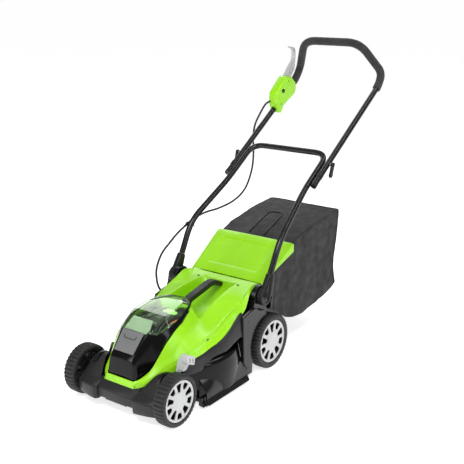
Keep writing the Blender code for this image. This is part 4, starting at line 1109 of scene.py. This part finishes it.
def bag_body():
    """The cloth as one closed form, before its wrinkles, with its seams marked."""
    rings = [bag_ring(*ring) for ring in BAG_RINGS]
    width = len(rings[0])
    last = rings[-1]
    mid_z = sum(p.z for p in last) / width
    # the rear wall closes in steps, following the waist of the frame
    rows = rings + [[Vector((p.x * (1 - share), p.y + out, mid_z + (p.z - mid_z) * (1 - share)))
        for p in last] for share, out in ((0.12, 0.01), (0.45, 0.0125), (0.8, 0.0135))]
    bag = grid("bag_cloth", rows, closed=True)
    with edited(bag) as bm:
        bm.faces.new(list(bm.verts)[-width:])
    crease_lines(bag, width, 0.95, columns=BAG_CORNERS, within=range(len(rings)))
    crease_lines(bag, width, 0.95, rows=(len(rings) - 1,))
    mark(bag, "seam_left", lambda i: i % width == BAG_CORNERS[0] and i // width < len(rings))
    mark(bag, "seam_right", lambda i: i % width == BAG_CORNERS[1] and i // width < len(rings))
    mark(bag, "seam_rear", lambda i: i // width == len(rings) - 1)
    return subdivide(fix_normals(bag), 3)


def grass_bag():
    bag = bag_body()
    for vertex in bag.data.vertices:
        p = vertex.co
        # the rear wall is drawn in at its waist and kicks out at its foot
        if p.y > 0.6:
            far = min(1, (p.y - 0.6) / 0.12)
            waist = math.exp(-((p.z - 0.215) / 0.07) ** 2)
            p.y -= 0.018 * far * waist
            if p.z < 0.16:
                p.y += 0.004 * far * (0.16 - p.z) / 0.05
    bag.data.update()
    wrinkled = [v.co + v.normal * bag_wrinkles(v.co) for v in bag.data.vertices]
    for vertex, spot in zip(bag.data.vertices, wrinkled):
        if vertex.co.y > 0.306:
            spot.x = max(-BAG_X - 0.004, min(BAG_X + 0.004, spot.x))
            vertex.co = spot
    bag.data.update()
    place(bag, "grass_bag", "bag", ["bag_fabric"], angle=60)
    # up-facing faces on the bag's top get the lighter cloth: a painted highlight where the overhead light
    # falls
    bag.data.materials.append(MAT["bag_top"])
    for face in bag.data.polygons:
        if face.normal.z > 0.62 and face.center.z > 0.25:
            face.material_index = 1
    piping = [swept(f"piping_{i}", edge, 0.0022, 8) for i, edge in enumerate(seam_lines(bag))]
    place(joined("bag_piping", piping), "grass_bag", "piping", shift=False, angle=50)
    outer = rounded([(-0.144, 0.169), (0.144, 0.169), (0.144, 0.288), (-0.144, 0.288)], 0.01)
    inner = rounded([(-0.124, 0.18), (0.124, 0.18), (0.124, 0.274), (-0.124, 0.274)], 0.008)
    verts, count = [], len(outer)
    for y, loop in ((0.2892, outer), (0.2892, inner), (0.2996, inner), (0.2996, outer)):
        verts += [(x, y, z) for x, z in loop]
    faces = [(a * count + i, a * count + (i + 1) % count, b * count + (i + 1) % count, b * count + i) for a,
        b in ((0, 1), (1, 2), (2, 3), (3, 0)) for i in range(count)]
    mouth = soften(fix_normals(mesh_object("bag_mouth", verts, faces)), 0.001, 2)
    place(mouth, "grass_bag", "black", ["bag_mouth_frame"])
    loop = [(0.0295, 0.416, 0.37), (0.0295, 0.43, 0.378), (0.0295, 0.542, 0.417)]
    path = rounded(loop + [(-x, y, z) for x, y, z in reversed(loop)], 0.02, 8, closed=False)
    place(swept("bag_wire_handle", path, 0.0033, 14), "grass_bag", "tube", ["bag_handle"])


# ---- handle -------------------------------------------------------------------
HANDLE_PIVOT = Vector((0, 0.1995, 0.25))
LEG_ANGLE = math.radians(62.3)
LEG_LINE = Vector((0, math.cos(LEG_ANGLE), math.sin(LEG_ANGLE)))
LOWER_LEG = (Vector((0.178, *(HANDLE_PIVOT + LEG_LINE * 0.0723).yz)), Vector((0.179, 0.2863, 0.4148)),
    Vector((0.153, 0.47, 0.5345)), Vector((0.153, 0.615, 0.629)))
UPPER_LEG = (Vector((0.175, 0.49, 0.5456)), Vector((0.175, 0.93, 0.8313)), Vector((0.172, 0.958, 0.874)),
    Vector((0.1135, 0.888, 0.9805)))
UPPER_JOINT = Vector((0, 0.578, 0.6035))


def mirrored(half):
    return [*half, *[Vector((-p.x, p.y, p.z)) for p in reversed(half)]]


def pivot_boss(name, side):
    """Ribbed round ear, dished round the lever's bolt, with the socket that takes a leg."""
    x0, x1 = 0.1668, 0.1888
    ear = turned(f"ear_{name}", rounded([(0.0004, x0), (0.0275, x0), (0.029, x0 + 0.003), (0.029, x1 - 0.004),
        (0.0265, x1 - 0.0008), (0.0215, x1), (0.0195, x1 - 0.003), (0.011, x1 - 0.003), (0.0095, x1),
        (0.0004, x1)], 0.0008, 2), (0, HANDLE_PIVOT.y, HANDLE_PIVOT.z), "X", 60, side, lambda i,
        j: -0.0012 if i % 3 == 0 and 4 <= j <= 11 else 0.0)
    across = Vector((0, -LEG_LINE.z, LEG_LINE.y))
    foot, tip = HANDLE_PIVOT + LEG_LINE * 0.01, HANDLE_PIVOT + LEG_LINE * 0.0718
    corners = [foot - across * 0.0205, tip - across * 0.0125, tip + across * 0.0125, foot + across * 0.0205]
    socket = soften(plate(f"socket_{name}", [(p.y, p.z) for p in corners], *spans(side, 0.169, 0.188)),
        0.0045, 4)
    ribs = []
    for k in range(3):
        at = HANDLE_PIVOT + LEG_LINE * (0.04 + 0.009 * k)
        half = 0.015 - 0.0012 * k
        line = [at - across * half, at + across * half]
        ribs.append(swept(f"socket_rib_{k}", [(side * 0.188, p.y, p.z) for p in line], 0.001, 8))
    bolt = turned(f"bolt_{name}", rounded([(0.0003, 0.186), (0.0028, 0.186), (0.0028, 0.2003),
        (0.0003, 0.2003)], 0.0005, 2), (0, HANDLE_PIVOT.y, HANDLE_PIVOT.z), "X", 20, side)
    middle = Vector((side * 0.1992, HANDLE_PIVOT.y, HANDLE_PIVOT.z))
    pin = swept(f"pin_{name}", [middle - Vector((0, 0.0074, 0)), middle + Vector((0, 0.0074, 0))], 0.0018, 14)
    place(joined(f"pivot_ear_{name}", [ear, socket] + ribs), "lower_handle", "black",
        [f"handle_socket_{name}"])
    place(joined(f"pivot_bolt_{name}", [bolt, pin]), "lower_handle", "steel")


def lever_shape(side, hub, reach, radius, x_mid, node):
    """A forked cam lever with a thumb pad at its end and grip ribs."""
    span, along = reach.length, reach.normalized()
    across = Vector((0, -along.z, along.y))
    half = [(-1.0, 0.0), (-0.95, 0.55), (-0.55, 0.92), (0.0, 1.0), (1.2, 0.86), (span / radius - 1.6, 0.8),
        (span / radius - 0.2, 1.04), (span / radius + 0.6, 0.8), (span / radius + 0.96, 0.3)]
    outline = [hub + along * (u * radius) + across * (v * radius) for u, v in half]
    outline += [hub + along * (u * radius) - across * (v * radius) for u, v in reversed(half)]
    shape = [(p.y, p.z) for p in rounded(outline, radius * 0.25, 3)]
    lever = plate(f"{node}_body", shape, *spans(side, x_mid - 0.58 * radius, x_mid + 0.58 * radius))
    lever = soften(lever, radius * 0.26, 4, 50)
    inner, outer = spans(side, x_mid - radius, x_mid + radius)
    low, high = sorted(((hub - along * (2 * radius)).z, (hub + along * radius * 0.6).z))
    lever = cut(lever, block("fork", (inner, hub.y - 0.0034, low), (outer, hub.y + 0.0034, high)))
    ribs = []
    for k in range(4):
        at = hub + along * (span - 0.002 - 0.0034 * k)
        ribs.append(swept("rib", [(side * (x_mid + 0.57 * radius), *(at + across * (sign * radius * 0.6)).yz)
            for sign in (-1, 1)], 0.0007, 8))
    place(joined(f"{node}_shape", [lever] + ribs), node, "black", [node])


def handle():
    for name, leg, radius, body in (("lower", LOWER_LEG, 0.05, "lower_handle"),
            ("upper", UPPER_LEG, 0.048, "upper_handle")):
        path = rounded(mirrored(leg), radius, 12, closed=False)
        place(swept(f"{name}_tube", path, 0.01, 28), body, "tube", [f"{body}_tube"])
    leg = (UPPER_LEG[1] - UPPER_LEG[0]).normalized()
    plugs = []
    for name, side in SIDES:
        end = Vector((side * UPPER_LEG[0].x, *UPPER_LEG[0].yz))
        plugs.append(swept(f"tube_plug_{name}", [end - leg * 0.0035, end + leg * 0.0105], 0.0106, 24))
    place(joined("tube_plugs", plugs), "upper_handle", "black")
    start = UPPER_LEG[0] + (UPPER_LEG[1] - UPPER_LEG[0]) * 0.957
    foam_path = [start] + [p for p in path if p.y > start.y or p.z > start.z]
    foam_path.append(Vector((-start.x, start.y, start.z)))

    def foam_radius(share):
        end = min(share, 1 - share)
        return 0.0144 - 0.0022 * max(0,
            1 - end / 0.006) ** 2 + 0.00025 * math.sin(share * 90) * math.sin(share * 31)

    foam = swept("foam_sleeve", foam_path, foam_radius, 32)
    place(foam, "upper_handle", "foam", ["foam_grip"], angle=60)
    for name, side in SIDES:
        pivot_boss(name, side)
        # the far lever hangs down
        reach = Vector((0, 0.014, 0.066)) if side > 0 else Vector((0, -0.012, -0.044))
        lever_shape(side, HANDLE_PIVOT, reach, 0.0085, 0.1992, f"base_lever_{name}")
        lever_shape(side, UPPER_JOINT, Vector((0, -0.012, -0.035)), 0.0078, 0.1948, f"joint_lever_{name}")
        # clamp wrap where the two tubes lie side by side
        at = Vector((side * 0.175, *(UPPER_JOINT - leg * 0.06).yz))
        wrap = swept("wrap", [at - leg * 0.008, at + leg * 0.008], 0.0112, 24)
        place(joined(f"tube_wraps_{name}", [wrap]), "upper_handle", "black")


# ---- switch box, bail lever, lead ---------------------------------------------
def switch_gear():
    outline = metres([(836, 852), (869, 848), (903, 823), (905, 795), (894, 780), (818, 743), (805, 720),
        (787, 720), (769, 755), (771, 797)])
    radii = [0.008, 0.008, 0.007, 0.007, 0.007, 0.012, 0.006, 0.008, 0.01, 0.01]
    side_view = rounded(outline, radii)
    body = soften(plate("switch_shell", side_view, -0.1915, -0.1545), 0.006, 5, 50)
    leg = (UPPER_LEG[1] - UPPER_LEG[0]).normalized()
    start, end = UPPER_LEG[0].copy(), UPPER_LEG[1].copy()
    start.x = end.x = -0.175
    body = cut(body, swept("bore", [start, end + leg * 0.1], 0.0106, 24))
    body = cut(body, block("slot", (-0.1875, 0.84, 0.806), (-0.175, 0.95, 0.95)))
    body = cut(body, turned("button_bore", [(0.0001, -0.006), (0.0076, -0.006), (0.0076, 0.006),
        (0.0001, 0.006)], (-0.1555, 0.812, 0.8), "X", 24))
    place(body, "upper_handle", "green_box", ["switch_box"])
    screws = [screw_head(f"switch_screw_{i}", (-0.1543, y, z), (1, 0, 0), 0.003) for i,
        (y, z) in enumerate(((0.85, 0.832), (0.8, 0.752)))]
    place(joined("switch_screws", screws), "upper_handle", "case")
    plate_outline = rounded(metres([(848, 816), (864, 810), (924, 868), (929, 900), (930, 938), (923, 950),
        (888, 957), (885, 952), (914, 942), (912, 905), (896, 893), (848, 844)]),
        metres([4, 4, 30, 20, 12, 12, 2, 2, 12, 12, 20, 4]), 5)
    bail = soften(plate("bail_arm", plate_outline, -0.186, -0.1765), 0.0014, 3, 50)
    line = route(metres([(-177.6, 886, 860), (-177.6, 905, 883), (-177.8, 916, 906), (-179, 919.5, 928),
        (-180.5, 916, 943), (-181.2, 899, 951), (-181.2, 886.6, 954)]), 6)

    def blade_section(share):
        half = 0.009 - 0.0042 * min(1, max(0, (share - 0.35) / 0.4))
        return rounded([(0.0014, -half), (0.0014, half), (-0.0014, half), (-0.0014, -half)], 0.0008, 2)

    blade = swept("bail_blade", line, section=blade_section, up=(0, -0.8, 0.6))
    bail = joined("bail", [bail, blade])
    place(bail, "bail", "silver", ["bail_lever"])
    button = turned("button", rounded([(0.0002, -0.004), (0.007, -0.004), (0.007, 0.0028), (0.0055, 0.004),
        (0.0002, 0.0044)], 0.0006, 2), (-0.154, 0.812, 0.8), "X", 28)
    place(button, "lock_button", "black", ["lock_button"])


UPPER_ROUTE = metres(((-185, 767.5, 764), (-189.5, 744, 753), (-192, 712, 721), (-194, 685, 685),
    (-194.5, 676, 640), (-194.5, 678, 580), (-194, 666, 520), (-193, 624, 460), (-193, 555, 429),
    (-193.5, 464, 419), (-194, 377, 420), (-194.5, 302, 408)))
LOWER_ROUTE = metres(((-194.5, 269, 396), (-193, 230, 382), (-191, 190, 362), (-190.5, 144, 333),
    (-191, 118, 290), (-191, 117, 250), (-191.5, 127, 220), (-190.5, 138, 207), (-186.7, 140, 204)))


def lead():
    """The lead from the switch box to the body, in two runs either side of its clip."""
    for name, points, a, b, node in (("lead_upper", UPPER_ROUTE, "lower_handle", "upper_handle",
            "cable_upper"), ("lead_lower", LOWER_ROUTE, "chassis", "lower_handle", "cable_lower")):
        path = route(points, 6)
        tube = swept(name, path, 0.0036, 14)
        tube.data.transform(SHIFT)
        shade(tube, 60)
        tube.data.materials.append(MAT["cable"])
        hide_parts(node)
        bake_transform(tube)
    ends = Vector(UPPER_ROUTE[-1]), Vector(LOWER_ROUTE[0])
    along = (ends[1] - ends[0]).normalized()
    clip = swept("lead_clip", [ends[0] + along * 0.0015, ends[1] - along * 0.0015],
        lambda s: 0.005 - 0.0008 * (abs(s - 0.5) * 2) ** 4, 20)
    place(clip, "lower_handle", "black", ["cable_clip"])
    tie = swept("lead_tie", rounded(metres([(-199.5, 283, 398), (-199.5, 283, 408), (-168, 283, 412),
        (-166, 286, 398)]), 0.004, 4, closed=False), 0.0016, 8)
    place(tie, "lower_handle", "black")
    grommet = turned("grommet", rounded(metres([(3.2, 178.3), (5.5, 178.3), (5.8, 180), (5, 183), (4, 184.9),
        (3.2, 184.9)]), 0.0004, 2), (0, 0.14, 0.204), "X", 24, -1)
    place(grommet, "chassis", "black", ["cable_gland"])


# ---- height lever, brackets, battery ------------------------------------------
def height_lever():
    """Slotted block on a stem that rises from the front axle."""
    pivot_y, pivot_z = -0.1911, 0.0588
    stem = [(pivot_y - 0.01, 0.05), (pivot_y + 0.01, 0.05), (-0.15, 0.158), (-0.168, 0.158)]
    stem = soften(plate("stem", rounded(stem, 0.004, 3), 0.1297, 0.1355), 0.0008, 2, 50)
    stem = cut(stem, turned("hole", [(0.0001, 0.12), (0.0054, 0.12), (0.0054, 0.14), (0.0001, 0.14)],
        (0, pivot_y, pivot_z), "X", 24))
    lug = plate("lug", rounded([(-0.176, 0.131), (-0.156, 0.131), (-0.142, 0.148), (-0.145, 0.16),
        (-0.164, 0.168)], 0.005, 4), 0.1299, 0.154)
    lug = soften(lug, 0.0022, 4, 50)
    knob = plate("knob", rounded([(-0.1695, 0.156), (-0.1365, 0.142), (-0.131, 0.1655), (-0.1655, 0.183)],
        0.003, 3), 0.1405, 0.166)
    knob = soften(knob, 0.002, 4, 50)
    for y, z in ((-0.156, 0.1625), (-0.143, 0.157)):
        knob = cut(knob, block("slot", (0.157, y - 0.002, z - 0.0075), (0.17, y + 0.002, z + 0.0085)))
    place(joined("height_knob", [stem, lug, knob]), "front_axle", "silver",
        ["height_lever"])


def bracket_details():
    for name, side in SIDES:
        parts = [screw_head(f"bracket_screw_{name}_{i}", (side * 0.1782, y, z), (side, 0, 0), 0.003) for i,
            (y, z) in enumerate(((0.116, 0.04), (0.116, 0.19)))]
        place(joined(f"bracket_screws_{name}", parts), "chassis", "case")


def battery_details():
    """Ribs, rails, a release latch and a disc on the pack, walls in the bay, and under the door's window a
    pale sheet of painted reflection and dark frames.
    """
    low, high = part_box("battery_pack")
    parts = []
    for i in range(5):
        y = low.y + 0.02 + i * 0.0055
        parts.append(swept("rib", [(low.x + 0.01, y, high.z + 0.0001), (high.x - 0.01, y, high.z + 0.0001)],
            0.0011, 8))
    for side in (-1, 1):
        x = (high.x if side > 0 else low.x) - side * 0.006
        parts.append(swept("rail", rounded([(x, low.y + 0.012, high.z + 0.0002),
            (x * 0.4, low.y + 0.06, high.z + 0.0012), (x, high.y - 0.012, high.z + 0.0002)], 0.01, 4,
            closed=False), 0.0016, 8))
    place(joined("pack_ribs", parts), "battery", "case", shift=False)
    latch = plate("latch", rounded([(-0.017, high.y - 0.04), (0.017, high.y - 0.04), (0.014, high.y - 0.014),
        (-0.014, high.y - 0.014)], 0.004, 4), high.z - 0.0005, high.z + 0.0035, "Z")
    place(soften(latch, 0.0012, 3), "battery", "disc", shift=False)
    indicator = turned("pack_disc", rounded([(0.0002, 0), (0.0115, 0), (0.0115, 0.0022), (0.01, 0.003),
        (0.0002, 0.003)], 0.0006, 2), (high.x - 0.018, high.y - 0.03, high.z - 0.0006), "Z", 40)
    place(indicator, "battery", "disc", shift=False)
    bay_low, bay_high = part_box("battery_bay")
    walls = []
    for side in (-1, 1):
        x = bay_high.x if side > 0 else bay_low.x
        outline = rounded([(bay_low.y + 0.004, bay_high.z - 0.022), (bay_high.y - 0.004, bay_high.z - 0.022),
            (bay_high.y - 0.02, bay_high.z + 0.01), (bay_low.y + 0.05, bay_high.z + 0.006)], 0.006, 3)
        walls.append(soften(plate("wall", outline, *sorted((x - side * 0.0022, x - side * 0.0042))), 0.0006,
            2))
    place(joined("bay_walls", walls), "chassis", "green_in", shift=False)
    # a pale sheet just under the window's front facet, riding on the door: a painted reflection standing in
    # for the white the facet mirrors
    fall = [Vector((0, -0.204, 0.219)), Vector((0, -0.15, 0.247))]
    verts = []
    for lift in (0, 0.002):
        for x, t in ((-0.046, 0.02), (0.034, 0.02), (0.04, 0.45), (0.026, 1.0), (-0.048, 1.0)):
            p = fall[0].lerp(fall[1], t)
            verts.append((x, p.y, p.z - lift))
    faces = [(0, 1, 2, 3, 4), (9, 8, 7, 6, 5)] + [(i, (i + 1) % 5, 5 + (i + 1) % 5, 5 + i) for i in range(5)]
    reflection_sheet = fix_normals(mesh_object("window_reflection_sheet", verts, faces))
    place(reflection_sheet, "battery_door", "pale")
    frames = []
    for x in (-0.02, 0.046, 0.06):
        frames.append(swept("frame", [(x, -0.196, 0.205), (x - 0.002, -0.15, 0.236),
            (x - 0.01, -0.095, 0.252)], 0.003, 8))
    place(joined("door_frames", frames), "battery_door", "case")


def keep_frame_parts():
    """Materials for the CAD nodes that stay as they are."""
    looks = {
        "side_bracket_left": "satin", "side_bracket_right": "satin", "battery_bay": "green_in",
        "deck_housing": "satin", "motor_can": "motor", "controller_box": "case", "flap_hinge_pin": "steel",
        "flap_spring": "steel", "door_hinge_pin": "steel", "motor_shaft": "steel", "blade_adapter": "motor",
        "blade": "blade", "blade_bolt": "steel", "front_axle": "steel", "rear_axle": "steel",
        "height_link": "steel",
        "battery_pack": "case", "safety_key": "red", "bag_frame": "steel", "joint_bolt_left": "steel",
        "joint_bolt_right": "steel",
    }
    for node, look in looks.items():
        obj = NODES[node]
        obj.data.materials.clear()
        obj.data.materials.append(MAT[look])


make_camera()
lead()
make_studio()
for where in ("front_left", "front_right", "rear_left", "rear_right"):
    wheel(where, 1 if where.endswith("left") else -1)
top_cover()
battery_door()
carry_grip()
deck_skin()
skirt_details()
deck_shoulders()
bumper()
rear_flap()
grass_bag()
handle()
switch_gear()
height_lever()
bracket_details()
battery_details()
keep_frame_parts()

bpy.context.view_layer.update()
